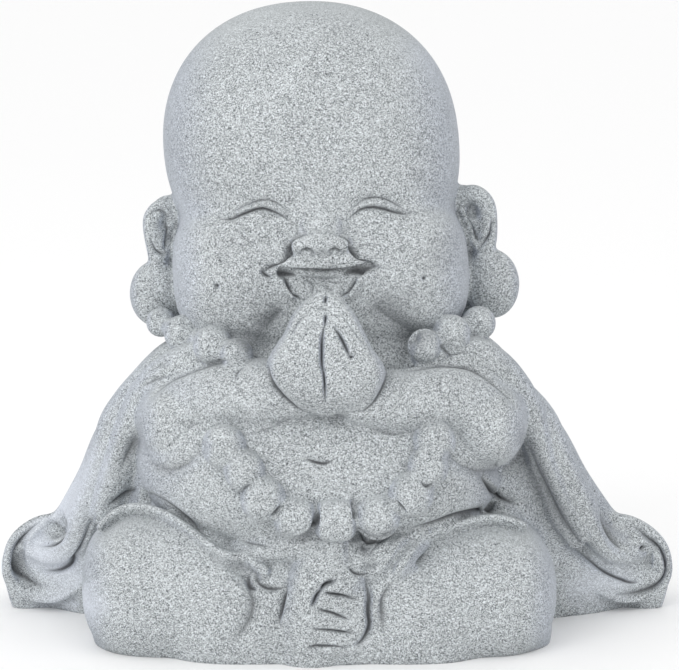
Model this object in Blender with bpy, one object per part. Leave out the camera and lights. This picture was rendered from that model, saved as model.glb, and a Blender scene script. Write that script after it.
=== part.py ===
"""Seated laughing monk, one solid casting that stands for a hollow one.

HEIGHT is the figure's real height in metres. Its forms are drawn about 285
units tall, so a drawn unit is close to a millimetre, and the last step scales
the drawing to HEIGHT. x runs to the viewer's right, -y towards the viewer and
z up.

The figure is built the way it would be modelled in clay. Balls and tapered
rolls are laid together, the Remesh modifier fuses each group, the Smooth
modifier softens the joins, and then fine lines are pressed into the front.
Small details are placed by where a viewer in front sees them: their x and z
are read where a line of sight crosses the plane y = 0.
"""

import bmesh
import bpy
import numpy as np
from mathutils import Vector
from mathutils.bvhtree import BVHTree

HEIGHT = 0.280
STONE_COLOUR = (0.43, 0.46, 0.48, 1.0)
STONE_ROUGHNESS = 0.9

# The figure leans a little to the viewer's left and its head is rolled.
LEAN = 0.055
LEAN_FROM = 30.0
HEAD_ROLL = 0.035
LAP_SHIFT = 5.0
SKULL_SHIFT = 1.5

# The viewer stands here, and looks down by this slope.
VIEW_DISTANCE = 1500.0
VIEW_HEIGHT = 330.0
VIEW_TILT = 0.1336
EYE = Vector((0.0, -VIEW_DISTANCE, VIEW_HEIGHT))

# The figure stands on this level of the drawing, and is cut off flat there.
GROUND = -4.0

# Grain of the clay for large forms, for the body and for the finished skin,
# and how many triangles that skin is thinned to.
ROUGH_GRAIN = 2.0
BODY_GRAIN = 1.5
SKIN_GRAIN = 1.2
SKIN_TRIANGLES = 9000

# A pressed line only moves skin within this depth of where it is seen.
REACH = 14.0


def behind(view_x, view_z, y):
    """The point at depth y that is seen at this place from the front."""
    scale = 1.0 + y / VIEW_DISTANCE
    return Vector((view_x * scale, y, VIEW_HEIGHT - (VIEW_HEIGHT - view_z) * scale))


def add_ball(group, centre, radii, power=2.0, detail=5):
    """A squashed ball. A power over 2 makes it boxier."""
    made = bmesh.ops.create_icosphere(group, subdivisions=detail, radius=1.0)
    for vert in made["verts"]:
        x, y, z = vert.co
        size = (abs(x) ** power + abs(y) ** power + abs(z) ** power) ** (1.0 / power)
        vert.co = [c + r * v / size for c, r, v in zip(centre, radii, (x, y, z))]


def smooth_path(stations, steps):
    """Points on a smooth curve through the stations, as rows of an array."""
    points = [np.array(station, dtype=float) for station in stations]
    if len(points) == 1:
        return np.array(points)
    ends = [2 * points[0] - points[1]] + points + [2 * points[-1] - points[-2]]
    path = []
    for i in range(1, len(ends) - 2):
        a, b, c, d = ends[i - 1 : i + 3]
        for t in np.arange(steps) / steps:
            bend = (2 * a - 5 * b + 4 * c - d) * t**2 + (3 * b - a - 3 * c + d) * t**3
            path.append(b + 0.5 * ((c - a) * t + bend))
    path.append(points[-1])
    return np.array(path)


def close_rings(group, rings):
    """Faces between rings of equal length, and over both ends."""
    for low, high in zip(rings, rings[1:]):
        for k in range(len(low)):
            group.faces.new((low[k - 1], low[k], high[k], high[k - 1]))
    group.faces.new(list(reversed(rings[0])))
    group.faces.new(rings[-1])


def add_tube(group, path, sides):
    """A closed tube along rows of x, y, z and radius."""
    across = None
    rings = []
    for i, point in enumerate(path):
        ahead = path[min(i + 1, len(path) - 1)][:3] - path[max(i - 1, 0)][:3]
        along = Vector(ahead).normalized()
        if across is None:
            across = along.orthogonal().normalized()
        across = (across - along * across.dot(along)).normalized()
        up = along.cross(across)
        turn = 2 * np.pi * np.arange(sides) / sides
        spokes = [across * float(np.cos(a)) + up * float(np.sin(a)) for a in turn]
        rings.append([group.verts.new(Vector(point[:3]) + s * point[3]) for s in spokes])
    close_rings(group, rings)


def add_roll(group, stations, steps=6, sides=24, round_ends=True):
    """A tapered roll through stations of x, y, z and radius."""
    path = smooth_path(stations, steps)
    add_tube(group, path, sides)
    if round_ends:
        for end in (path[0], path[-1]):
            add_ball(group, end[:3], [end[3]] * 3, detail=4)


def add_loft(group, sections):
    """Joins outlines of equal length, bottom to top."""
    close_rings(group, [[group.verts.new(Vector(p)) for p in s] for s in sections])


def melt(group, voxel, rounds):
    """Fuses everything in a group into one skin and softens it."""
    mesh = bpy.data.meshes.new("clay")
    group.to_mesh(mesh)
    group.free()
    clay = bpy.data.objects.new("clay", mesh)
    bpy.context.scene.collection.objects.link(clay)
    fuse = clay.modifiers.new("Fuse", "REMESH")
    fuse.mode = "VOXEL"
    fuse.voxel_size = voxel
    if rounds:
        soften = clay.modifiers.new("Soften", "SMOOTH")
        soften.factor = 0.5
        soften.iterations = rounds
    graph = bpy.context.evaluated_depsgraph_get()
    made = bpy.data.meshes.new_from_object(clay.evaluated_get(graph))
    bpy.data.objects.remove(clay)
    bpy.data.meshes.remove(mesh)
    return made


def joined(*meshes):
    """A new group that holds these meshes."""
    group = bmesh.new()
    for mesh in meshes:
        group.from_mesh(mesh)
    return group


def read(mesh, what):
    """The positions (co) or normals of a mesh's vertices, as rows."""
    flat = np.empty(len(mesh.vertices) * 3)
    mesh.vertices.foreach_get(what, flat)
    return flat.reshape(-1, 3)


def write_positions(mesh, points):
    mesh.vertices.foreach_set("co", points.ravel())
    mesh.update()


def ramp(value, start, end):
    """0 before start, 1 after end, with soft corners."""
    t = np.clip((value - start) / (end - start), 0.0, 1.0)
    return t * t * (3 - 2 * t)


def leaned(mesh):
    """Leans the figure, rolls its head and shifts its lap."""
    points = read(mesh, "co")
    x, y, z = points[:, 0].copy(), points[:, 1], points[:, 2].copy()
    points[:, 2] += HEAD_ROLL * x * ramp(z, 100.0, 150.0)
    points[:, 0] -= LEAN * np.maximum(z - LEAN_FROM, 0.0)
    points[:, 0] -= SKULL_SHIFT * ramp(z, 160.0, 230.0)
    lap = ramp(-y, 0.0, 30.0) * (1.0 - ramp(z, 95.0, 125.0))
    cloak_edge = ramp(np.abs(x), 80.0, 98.0) * ramp(z, 45.0, 65.0)
    points[:, 0] -= LAP_SHIFT * lap * (1.0 - cloak_edge)
    write_positions(mesh, points)
    return mesh


def upright(points):
    """Turns the figure as drawn from a level eye into one seen looking down."""
    slope = (VIEW_HEIGHT - points[:, 2]) / (VIEW_DISTANCE + points[:, 1])
    steep = slope / (1.0 - VIEW_TILT * (slope - VIEW_TILT))
    points[:, 2] = VIEW_HEIGHT - steep * (VIEW_DISTANCE + points[:, 1])
    points[:, 0] *= (1.0 + steep * VIEW_TILT) / np.sqrt(1.0 + VIEW_TILT**2)
    return points


def torso():
    group = bmesh.new()
    add_ball(group, (0, -31, 80), (81, 57, 44), 2.15)
    add_ball(group, (0, -20, 112), (62, 40, 30))
    add_ball(group, (0, 5, 125), (52, 45, 25))
    add_ball(group, (0, -30, 130), (52, 30, 16))
    return melt(group, ROUGH_GRAIN, 10)


# The arms as the viewer sees them: x, z, depth y and radius from elbow to wrist.
ARMS = (
    ((-70.5, 90.5, -42, 19.5), (-60, 98, -52, 17.5), (-50, 101.7, -60, 16.5),
     (-34, 103, -69, 15.5), (-18, 104.5, -78, 13)),
    ((65.5, 90, -42, 20), (57, 98, -52, 17.5), (46, 100.5, -61, 15.5),
     (29, 99.5, -70, 14), (13, 101, -78, 12.5)),
)
# The cloth that lies over the upper arm, from the collar outwards.
COLLAR = (
    ((-40, 124.5, -54, 5), (-50, 123.5, -53, 6), (-62, 120.5, -50, 7),
     (-73, 116, -44, 8), (-83, 109, -38, 8.5), (-91, 99, -30, 8)),
    ((38, 121, -57, 5), (52, 122.5, -52, 6.5), (63, 120.5, -46, 8),
     (74, 114, -40, 9), (82, 105, -34, 9), (88.5, 95, -28, 8)),
)
# The throat on both sides of the hands, between the jaw and the arms.
THROAT = (
    ((-24, 121, -63, 8.5), (-38, 121, -58, 9), (-54, 124, -46, 8.5), (-68, 128, -32, 7.5)),
    ((18, 121, -63, 9), (32, 122, -59, 9.5), (46, 123, -49, 9), (60, 127, -34, 7.5)),
)
# The cloak's inner side between the arm and its hem.
LINING = (
    ((-88, 100, -34, 7), (-92, 88, -29, 8), (-96, 76, -23, 8), (-100, 64, -17, 8), (-105, 50, -10, 7)),
    ((87, 96, -30, 6), (89, 84, -25, 7), (92, 72, -20, 7), (97, 60, -14, 7), (102, 50, -8, 6)),
)


def arms():
    group = bmesh.new()
    for rolls in zip(ARMS, COLLAR, THROAT, LINING):
        for roll in rolls:
            add_roll(group, [(*behind(x, z, y), radius) for x, z, y, radius in roll])
    for arm in ARMS:
        x, z, y, radius = arm[0]
        add_ball(group, behind(x, z, y), (radius, 1.4 * radius, radius))
        add_ball(group, behind(0.85 * x, z + 15, y + 17), (28, 24, 14))
    return melt(group, 1.2, 8)


# Centre, radii and power of the balls for both knees.
KNEES = (
    ((-67.0, -37.0, 25.0), (40.0, 43.0, 34.5), 2.5),
    ((-65.0, -33.0, 8.0), (38.5, 37.0, 24.0), 2.3),
    ((64.5, -37.0, 23.5), (37.0, 43.0, 32.0), 2.5),
    ((63.5, -29.0, 8.0), (36.5, 35.0, 24.0), 2.8),
)


def legs():
    group = bmesh.new()
    for knee in KNEES:
        add_ball(group, *knee)
    for side in (-1, 1):
        add_ball(group, (side * 34, -50, 13), (37, 36, 31), 2.6)
    add_ball(group, (0, -48, 16), (46, 40, 38), 2.4)
    core = melt(group, ROUGH_GRAIN, 8)
    group = joined(core)
    add_roll(group, [(4, -78, 56, 8), (2, -80, 46, 10), (-3, -80, 34, 13),
                     (-6, -79, 18, 14), (-6, -77, 2, 14)])
    add_roll(group, [(-44, -74, 36, 5), (-36, -77, 28, 5.5), (-30, -78, 18, 6), (-27, -77, 4, 6)])
    add_roll(group, [(36, -76, 42, 4), (28, -80, 36, 4.5), (22, -81, 26, 5), (21, -80, 8, 5)])
    add_roll(group, [(11, -82, 38, 6.5), (6, -85, 33, 7)])
    for z in (26, 17.5, 9):
        add_roll(group, [(11, -84, z, 5), (2, -87.5, z + 0.5, 4.8), (-4, -86, z + 1, 4.2)])
    return melt(group, 1.2, 3)


# Half outlines of the cloak at rising heights: z, then x, y pairs from the
# middle of the front round to the middle of the back.
CLOAK = (
    (-14, ((0, -20), (55, -15), (84, 6), (108, 20), (126, 34),
           (138, 48), (130, 64), (102, 80), (56, 92), (0, 96))),
    (10, ((0, -20), (55, -15), (84, -2), (106, 9), (132, 20),
          (150, 38), (140, 58), (104, 78), (56, 90), (0, 94))),
    (28, ((0, -20), (55, -16), (84, -14), (101, -1), (124, 13),
          (150, 34), (138, 55), (102, 74), (54, 86), (0, 90))),
    (42, ((0, -20), (55, -17), (84, -22), (97, -7), (113, 9),
          (130, 30), (122, 50), (94, 70), (50, 82), (0, 86))),
    (58, ((0, -20), (55, -17), (80, -29), (94, -12), (107, 5),
          (118, 26), (110, 46), (84, 66), (46, 78), (0, 82))),
    (75, ((0, -20), (55, -18), (76, -34), (90, -18), (101, -2),
          (110, 20), (102, 41), (78, 60), (42, 71), (0, 75))),
    (92, ((0, -20), (52, -18), (72, -36), (86, -22), (96, -5),
          (102, 15), (95, 36), (72, 54), (38, 65), (0, 69))),
    (108, ((0, -20), (50, -24), (64, -32), (77, -22), (88, -6),
           (94, 10), (86, 30), (65, 48), (34, 59), (0, 63))),
    (120, ((0, -18), (44, -18), (58, -18), (71, -14), (80, -4),
           (83, 8), (76, 25), (58, 42), (30, 53), (0, 57))),
    (130, ((0, -14), (36, -14), (46, -14), (56, -10), (63, -2),
           (65, 8), (60, 22), (46, 36), (24, 46), (0, 50))),
    (139, ((0, -8), (26, -8), (34, -8), (42, -6), (46, 0),
           (48, 8), (44, 18), (34, 28), (18, 36), (0, 40))),
)


def cloak():
    group = bmesh.new()
    sections = []
    for z, half in CLOAK:
        right = [(x, y, z) for x, y in half]
        left = [(-x, y, z) for x, y in reversed(half[1:-1])]
        sections.append(right + left)
    add_loft(group, sections)
    return melt(group, ROUGH_GRAIN, 12)


def hems():
    group = bmesh.new()
    for side in (-1, 1):
        add_roll(group, [(side * 132.5, 13.5, 25, 20), (side * 132, 30, 23, 19),
                         (side * 128, 47, 21, 17), (side * 120, 63, 19, 14),
                         (side * 108, 76, 16, 11)], sides=48, round_ends=False)
        add_ball(group, (side * 132, 34, 7), (18, 17, 12), 2.5)
        add_ball(group, (side * 114, 28, 4), (34, 15, 17), 2.5)
        add_roll(group, [(side * 58, -12, 129, 7), (side * 71, -14, 122, 8.5),
                         (side * 81, -11, 111, 10), (side * 90, -4, 96, 10.5),
                         (side * 98, 2, 80, 10.5), (side * 106, 8, 64, 10),
                         (side * 116, 14, 49, 9), (side * 126, 20, 38, 7)])
        add_roll(group, [(side * 40, -18, 131, 5), (side * 56, -24, 130, 6.5),
                         (side * 72, -27, 122, 8), (side * 86, -24, 108, 9),
                         (side * 94, -19, 94, 9.5), (side * 98.5, -14, 80, 9),
                         (side * 104.5, -7, 64, 9), (side * 112.5, 0, 48, 9),
                         (side * 121, 7, 36, 8.5), (side * 130, 10, 30, 6.5),
                         (side * 137.5, 12, 31, 4.6), (side * 139, 13, 37, 4),
                         (side * 134.5, 14, 40.5, 3.6), (side * 131, 14, 38, 3)])
        add_roll(group, [(side * 121, 19, 39, 4.5), (side * 126, 15, 42, 4.3),
                         (side * 133, 13, 42.3, 4.3), (side * 141, 12.5, 38.5, 4.2),
                         (side * 147, 12, 32, 4.2), (side * 149.4, 12, 22, 4.2),
                         (side * 147.5, 14, 14, 4.5), (side * 142, 20, 7, 5), (side * 120, 24, 1, 6)])
    return melt(group, 1.2, 3)


def head():
    group = bmesh.new()
    add_ball(group, (0, 0, 216), (66.8, 64, 64.5), 2.2)
    add_ball(group, (0, -13, 161), (66.0, 51, 36), 3.2)
    add_ball(group, (0, -28, 188), (50, 34, 26))
    for side in (-1, 1):
        add_ball(group, (side * 33, -36, 163), (30, 29.5, 25))
    core = melt(group, ROUGH_GRAIN, 30)
    group = joined(core)
    for side in (-1, 1):
        out = 0.6 if side > 0 else -1.4
        down = 0.0 if side > 0 else 1.4
        add_ball(group, (side * (75.7 + out), 1, 150.5), (12.8, 11, 15.5))
        add_ball(group, (side * 67, 5, 178), (11, 7, 17))
        add_roll(group, [(side * 62, -2, 188 - down, 4), (side * (70 + out), -4, 191.5 - down, 4.3),
                         (side * (75.3 + out), -4, 187 - down, 4.4), (side * (76 + out), -3, 179, 4.4),
                         (side * (75 + out), -2, 170, 4.4), (side * 73, -1, 162, 4.2)])
        add_roll(group, [(side * 66, -3, 184, 1.8), (side * 69, -4, 177, 2.2),
                         (side * 70, -3, 169, 2.0)])
    return melt(group, 1.0, 3)


# Height, left edge, slit, right edge, middle depth and half thickness of the palms.
PALMS = (
    (94.0, -13.0, -5.0, 7.5, -80.0, 7.0),
    (98.0, -19.0, -5.1, 13.5, -82.0, 10.5),
    (104.0, -25.5, -5.2, 18.6, -84.0, 13.0),
    (111.0, -30.5, -5.7, 21.7, -85.0, 14.0),
    (117.0, -31.5, -6.6, 20.5, -85.0, 13.5),
    (124.0, -28.0, -6.7, 15.6, -84.5, 12.0),
    (131.0, -23.2, -6.3, 12.2, -84.0, 10.5),
    (138.0, -20.3, -5.1, 8.6, -83.5, 8.5),
    (144.0, -15.5, -4.9, 4.0, -82.5, 6.5),
    (149.5, -8.5, -5.0, -1.5, -81.5, 4.0),
)
PALM_SIDES = 40
PALM_POWER = 2.9


def palm(group, side):
    rings = []
    for z, left, slit, right, depth, thick in smooth_path(PALMS, 6):
        outer = left if side < 0 else right
        centre, half = 0.5 * (outer + slit), 0.5 * abs(outer - slit) + 0.3
        ring = []
        for turn in 2 * np.pi * np.arange(PALM_SIDES) / PALM_SIDES:
            across, along = np.cos(turn), np.sin(turn)
            size = (abs(across) ** PALM_POWER + abs(along) ** PALM_POWER) ** (1 / PALM_POWER)
            ring.append(behind(centre + half * across / size, z, depth + thick * along / size))
        rings.append([group.verts.new(point) for point in ring])
    close_rings(group, rings)


def palms():
    group = bmesh.new()
    palm(group, -1)
    palm(group, 1)
    seam = [(*behind(slit, z, depth - thick + 6.0), 4.6)
            for z, left, slit, right, depth, thick in PALMS[1:-1]]
    add_roll(group, seam)
    return melt(group, 0.6, 4)


class Skin:
    """The skin of a mesh, as the viewer's line of sight meets it."""

    def __init__(self, mesh):
        self.tree = BVHTree.FromPolygons(
            [v.co for v in mesh.vertices], [tuple(p.vertices) for p in mesh.polygons]
        )

    def at(self, x, z):
        """The point of the skin that is seen here, and its normal."""
        aim = (Vector((x, 0, z)) - EYE).normalized()
        hit, normal, _, _ = self.tree.ray_cast(EYE, aim)
        if hit is None:
            raise ValueError(f"no skin is seen at {x:.1f}, {z:.1f}")
        return hit, normal

    def depths(self, line):
        """The depth y of the skin along rows that start with x and z."""
        return np.array([self.at(row[0], row[1])[0].y for row in line])


def lay_ball(group, skin, x, z, radii, lift, power=2.0):
    """A ball whose centre is this far out of the skin."""
    hit, normal = skin.at(x, z)
    add_ball(group, hit + normal * lift, radii, power, detail=4)


def lay_roll(group, skin, line, lift, sides=14):
    """A roll along rows of x, z and radius, laid on the skin."""
    path = smooth_path(line, 6)
    points = []
    for x, z, radius in path:
        hit, normal = skin.at(x, z)
        points.append([*(hit + normal * (lift * radius)), radius])
    points = np.array(points)
    for _ in range(3):
        points[1:-1] = 0.25 * points[:-2] + 0.5 * points[1:-1] + 0.25 * points[2:]
    add_tube(group, points, sides)
    for end in (points[0], points[-1]):
        add_ball(group, end[:3], [end[3]] * 3, detail=3)


# Nose: x and z as seen, radii, and how far the centre is out of the skin.
NOSE = (
    (-7.5, 171.8, (12.5, 9.0, 6.4), 0.5), (-17.0, 170.4, (5.4, 6.8, 4.8), 1.0),
    (2.4, 170.6, (5.4, 6.8, 4.8), 1.0), (-7.5, 179.0, (9.5, 6.0, 8.5), -1.5),
)
# Lips: x, z and radius.
UPPER_LIP = (
    (-26.5, 161.4, 2.2), (-19.0, 162.4, 3.8), (-7.0, 162.6, 4.3), (5.0, 163.0, 3.8), (14.5, 163.6, 2.2),
)
LOWER_LIP = (
    ((-28.0, 157.0, 1.8), (-25.0, 152.0, 2.4), (-20.5, 146.5, 2.6), (-17.5, 143.0, 2.4)),
    ((12.0, 157.0, 1.8), (9.0, 152.0, 2.4), (5.0, 147.3, 2.6), (2.5, 144.0, 2.4)),
)


def face(group, skin):
    for x, z, radii, lift in NOSE:
        lay_ball(group, skin, x, z, radii, lift)
    lay_roll(group, skin, UPPER_LIP, 0.05)
    for line in LOWER_LIP:
        lay_roll(group, skin, line, -0.1)


# Beads on the belly: x, z, radius.
BELLY_BEADS = (
    (-50.3, 79.0, 9.6), (-41.3, 68.6, 8.8), (-33.0, 56.5, 9.8), (-18.4, 48.2, 9.6),
    (17.9, 48.6, 9.8), (32.8, 58.4, 9.8), (40.3, 70.2, 9.0), (43.0, 80.8, 9.4),
)
# The flat bead in the middle: x, z, radii and power.
PENDANT = (-0.4, 46.4, (8.6, 9.5, 9.6), 4.0)
# Beads under the jaw: x, z, radius, depth y.
NECK_BEADS = (
    (-79.5, 135.4, 6.6, -17), (-70.0, 129.7, 8.2, -37), (-56.0, 125.2, 8.6, -55), (-45.6, 118.8, 5.4, -68),
    (65.0, 133.3, 7.6, -34), (52.2, 130.6, 8.0, -52), (39.5, 125.8, 6.2, -62),
)
BACK_BEADS = 11


def beads(skin):
    group = bmesh.new()
    for x, z, radius in BELLY_BEADS:
        lay_ball(group, skin, x, z, [radius] * 3, 0.08 * radius)
    x, z, radii, power = PENDANT
    lay_ball(group, skin, x, z, radii, 0.5, power)
    for row in (NECK_BEADS[:4], NECK_BEADS[4:]):
        add_roll(group, [(*behind(x, z, y + 5.0), 0.6 * radius) for x, z, radius, y in row])
    for x, z, radius, y in NECK_BEADS:
        add_ball(group, behind(x, z, y), [radius] * 3, detail=4)
    for k in range(BACK_BEADS):
        turn = np.radians(k * 180.0 / (BACK_BEADS - 1))
        x = 68 * np.cos(turn) - 5.5
        add_ball(group, (x, 8 + 44 * np.sin(turn), 136 + 0.03 * x), [7.2] * 3, detail=4)
    return melt(group, 0.8, 2)


# Hems of the robe over the knees: x, z, radius.
ROBE_HEMS = (
    ((-108.0, 42.5, 1.1), (-104.2, 46.3, 1.5), (-97.3, 51.0, 1.7), (-89.5, 52.2, 1.7),
     (-79.7, 49.9, 1.6), (-70.9, 45.0, 1.6), (-61.1, 37.6, 1.7), (-53.3, 31.8, 1.9),
     (-45.9, 29.4, 2.2), (-41.5, 29.8, 2.2), (-37.0, 26.5, 2.2), (-31.0, 22.0, 2.0)),
    ((86.0, 43.6, 1.1), (77.0, 46.4, 1.5), (70.2, 47.3, 1.6), (62.3, 46.4, 1.6), (52.5, 43.4, 1.8),
     (42.7, 39.6, 2.2), (35.9, 34.3, 2.4), (30.2, 27.5, 2.4), (26.5, 20.9, 2.0)),
    ((42.0, 42.0, 1.4), (31.7, 38.1, 2.2), (25.7, 34.4, 2.6), (21.2, 27.6, 2.5),
     (17.5, 23.1, 2.3), (12.0, 22.4, 1.8)),
)
# The crest of a knee is looked for this far below the line.
HEM_DROPS = (0.0, 2.5, 5.0)


def robe_hems(skin):
    """Rolls of cloth on the crest of the knees, just in front of the belly."""
    group = bmesh.new()
    for line in ROBE_HEMS:
        path = smooth_path(line, 5)
        y = np.min([skin.depths(path - [0.0, drop, 0.0]) for drop in HEM_DROPS], axis=0)
        for _ in range(12):
            y[1:-1] = 0.25 * y[:-2] + 0.5 * y[1:-1] + 0.25 * y[2:]
        for sink, grow in ((0.0, 1.0), (2.5, 1.5)):
            rows = [(*behind(x, z - 0.4 * sink, depth + sink), grow * radius)
                    for (x, z, radius), depth in zip(path, y)]
            add_tube(group, np.array(rows), 14)
    return melt(group, 0.8, 2)


def press(points, normals, skin, width, depth, line):
    """Presses a soft groove along a line seen from the front.

    A negative depth raises a ridge. Only skin that faces the viewer moves,
    along its own normal, and the line fades out at both ends.
    """
    scale = 1.0 + points[:, 1] / VIEW_DISTANCE
    seen_x = points[:, 0] / scale
    seen_z = VIEW_HEIGHT - (VIEW_HEIGHT - points[:, 2]) / scale
    route = smooth_path(line, 4)
    depths = skin.depths(route)
    low = route.min(axis=0) - width
    high = route.max(axis=0) + width
    across = (seen_x > low[0]) & (seen_x < high[0])
    upwards = (seen_z > low[1]) & (seen_z < high[1])
    index = np.nonzero(across & upwards & (normals[:, 1] < 0.0))[0]
    spot = np.stack([seen_x[index], seen_z[index]], axis=1)
    best = np.full(len(index), np.inf)
    where = np.zeros(len(index))
    level = np.zeros(len(index))
    count = len(route) - 1
    for k in range(count):
        span = route[k + 1] - route[k]
        t = np.clip((spot - route[k]) @ span / float(span @ span), 0.0, 1.0)
        gap = np.linalg.norm(spot - (route[k] + t[:, None] * span), axis=1)
        closer = gap < best
        best[closer] = gap[closer]
        where[closer] = (k + t[closer]) / count
        level[closer] = depths[k]
    shape = np.where(best < width, 0.5 + 0.5 * np.cos(np.pi * best / width), 0.0)
    shape[np.abs(points[index, 1] - level) > REACH + width] = 0.0
    shape *= np.sin(np.pi * where) ** 0.5
    points[index] -= normals[index] * (depth * shape)[:, None]


# The lines pressed into the front: width, depth, then x, z pairs as seen.
LINES = (
    (2.2, 1.4, ((-53.6, 182.9), (-48.7, 182.4), (-42.5, 184.8), (-35.2, 187.2), (-28.5, 186),
                (-20.7, 181))),
    (2.2, 1.4, ((3.5, 181.1), (9.3, 185.8), (16.2, 187.9), (26.6, 185.8), (34.2, 185.3))),
    (2.5, 2.0, ((-16.2, 175), (-20.4, 173), (-22.1, 169.9), (-21, 166.1))),
    (2.5, 2.0, ((0.3, 175.1), (4.5, 173.9), (6.6, 170.5), (5.6, 167.2))),
    (3.5, 3.5, ((-21.8, 168.2), (-23.2, 165.4), (-27, 162), (-32, 158.7))),
    (3.5, 3.5, ((6.4, 171), (8.2, 167), (12, 163.5), (17.5, 160.5))),
    (4.0, 5.0, ((-27, 157.5), (-20.4, 156), (-13.5, 155.4), (-5.2, 155.4), (3.1, 156.2), (10.7, 158),
                (15.5, 159.8))),
    (4.5, 4.0, ((-20, 152.5), (-12, 150.5), (-3, 151.5), (4, 153))),
    (1.8, 3.0, ((-5.3, 145.4), (-5, 138), (-6.5, 131), (-6.9, 126), (-6.6, 115.8), (-5.9, 113),
                (-5.1, 100.1))),
    (2.0, 1.2, ((-1.3, 132.1), (2.3, 127.1), (6.4, 120.2))),
    (1.6, 0.8, ((2.7, 136.8), (6.4, 132.5), (10.4, 127.9))),
    (1.6, 0.8, ((-13.4, 139.2), (-17.4, 135.6), (-20.9, 129.9))),
    (2.4, 1.2, ((-13.9, 73.7), (-10.2, 72.6), (-5.7, 71.8), (-2.3, 72.9))),
    (2.0, 2.5, ((-23.3, 16), (-24.8, 8.9), (-26.7, -1.6))),
    (2.5, 2.2, ((14.5, 17), (14.1, 12), (14.3, 4), (14.9, -2), (12, -8.5))),
    (2.2, 2.2, ((-8, 13.4), (-4, 14.5), (2, 11.9), (8.5, 10.8))),
    (2.0, 1.4, ((-8, 5.9), (-2, 3.7), (5.5, 1.4))),
    (2.0, 1.4, ((-9.5, -3.4), (-0.5, -4.4), (7, -5.3))),
    (2.0, 1.4, ((-11.7, -12.4), (-10.2, -11.1), (-2, -11.1), (5.5, -12))),
    (3.5, 1.8, ((-37.2, 8.9), (-37.5, 2.2), (-40.9, -4.6), (-49.1, -11.3))),
    (4.0, 2.5, ((-50, 27), (-44, 25), (-38.6, 19), (-34.2, 15.5))),
    (6.0, 5.0, ((10, 36), (13, 32.1), (14, 27))),
    (3.5, 2.5, ((66.7, 65.4), (71.1, 59), (76, 55.5), (81, 53))),
    (4.5, 3.5, ((-88.5, 94.7), (-90.5, 85.9), (-93.4, 77.1), (-97.3, 67.3))),
    (4.0, 3.0, ((84, 73.2), (85.8, 64.4), (92.7, 53.6), (101.5, 42.8), (109.3, 33))),
)


def thinned(mesh, triangles):
    shell = bpy.data.objects.new("shell", mesh)
    bpy.context.scene.collection.objects.link(shell)
    fewer = shell.modifiers.new("Fewer faces", "DECIMATE")
    fewer.ratio = triangles / (2.0 * len(mesh.polygons))
    graph = bpy.context.evaluated_depsgraph_get()
    made = bpy.data.meshes.new_from_object(shell.evaluated_get(graph))
    bpy.data.objects.remove(shell)
    return made


def flat_bottom(mesh):
    """Cuts the figure off at the ground and closes the cut."""
    group = joined(mesh)
    everything = group.verts[:] + group.edges[:] + group.faces[:]
    ground = (0, 0, GROUND)
    bmesh.ops.bisect_plane(group, geom=everything, dist=1e-5, plane_co=ground,
                           plane_no=(0, 0, 1), clear_inner=True)
    rim = [edge for edge in group.edges if edge.is_boundary]
    bmesh.ops.edgeloop_fill(group, edges=rim)
    bmesh.ops.triangulate(group, faces=[f for f in group.faces if len(f.verts) > 3])
    bmesh.ops.recalc_face_normals(group, faces=group.faces[:])
    made = bpy.data.meshes.new("monk_statue")
    group.to_mesh(made)
    group.free()
    return made


for thing in list(bpy.data.objects):
    bpy.data.objects.remove(thing)

body = leaned(melt(joined(torso(), legs(), cloak(), hems()), BODY_GRAIN, 1))
base = melt(joined(body, arms(), leaned(head()), palms()), SKIN_GRAIN, 2)

soft = joined(base)
face(soft, Skin(base))
base = melt(soft, SKIN_GRAIN, 2)

base_skin = Skin(base)
figure = melt(joined(base, beads(base_skin), robe_hems(base_skin)), SKIN_GRAIN, 2)
places = read(figure, "co")
facing = read(figure, "normal")
for width, depth, line in LINES:
    press(places, facing, base_skin, width, depth, line)
write_positions(figure, upright(places))

statue = flat_bottom(thinned(figure, SKIN_TRIANGLES))
places = read(statue, "co")
low, high = places.min(axis=0), places.max(axis=0)
middle = 0.5 * (low + high)
unit = HEIGHT / (high[2] - low[2])
write_positions(statue, (places - [middle[0], middle[1], low[2]]) * unit)

stone = bpy.data.materials.new("cast_stone")
stone.use_nodes = True
surface = stone.node_tree.nodes["Principled BSDF"]
surface.inputs["Base Color"].default_value = STONE_COLOUR
surface.inputs["Roughness"].default_value = STONE_ROUGHNESS
surface.inputs["Metallic"].default_value = 0.0

statue.materials.append(stone)
statue.shade_smooth()
node = bpy.data.objects.new("monk_statue", statue)
bpy.context.scene.collection.objects.link(node)
print("monk_statue", len(statue.polygons), "faces", [round(v, 4) for v in node.dimensions])
print("drawn middle", middle.round(2), "drawn height", round(high[2] - low[2], 2))
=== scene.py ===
# %% [markdown]
# # A laughing monk in cast stone
#
# The statue is one casting of fine concrete, made to look like grey stone. A
# sculptor models such a figure in clay first, and the mould keeps every soft
# fold and every line of the modelling tool. This lesson works in the same
# order: big lumps of clay, smaller rolls laid on them, fused and softened, then
# lines pressed in with a tool. The finish of sandy grey stone comes last.
#
# The imported CAD solid gives the size and the place. It is loaded first, and
# its box is kept, so that the finer piece can be scaled to it.

import bmesh
import bpy
import numpy as np
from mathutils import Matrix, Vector
from mathutils.bvhtree import BVHTree


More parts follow.
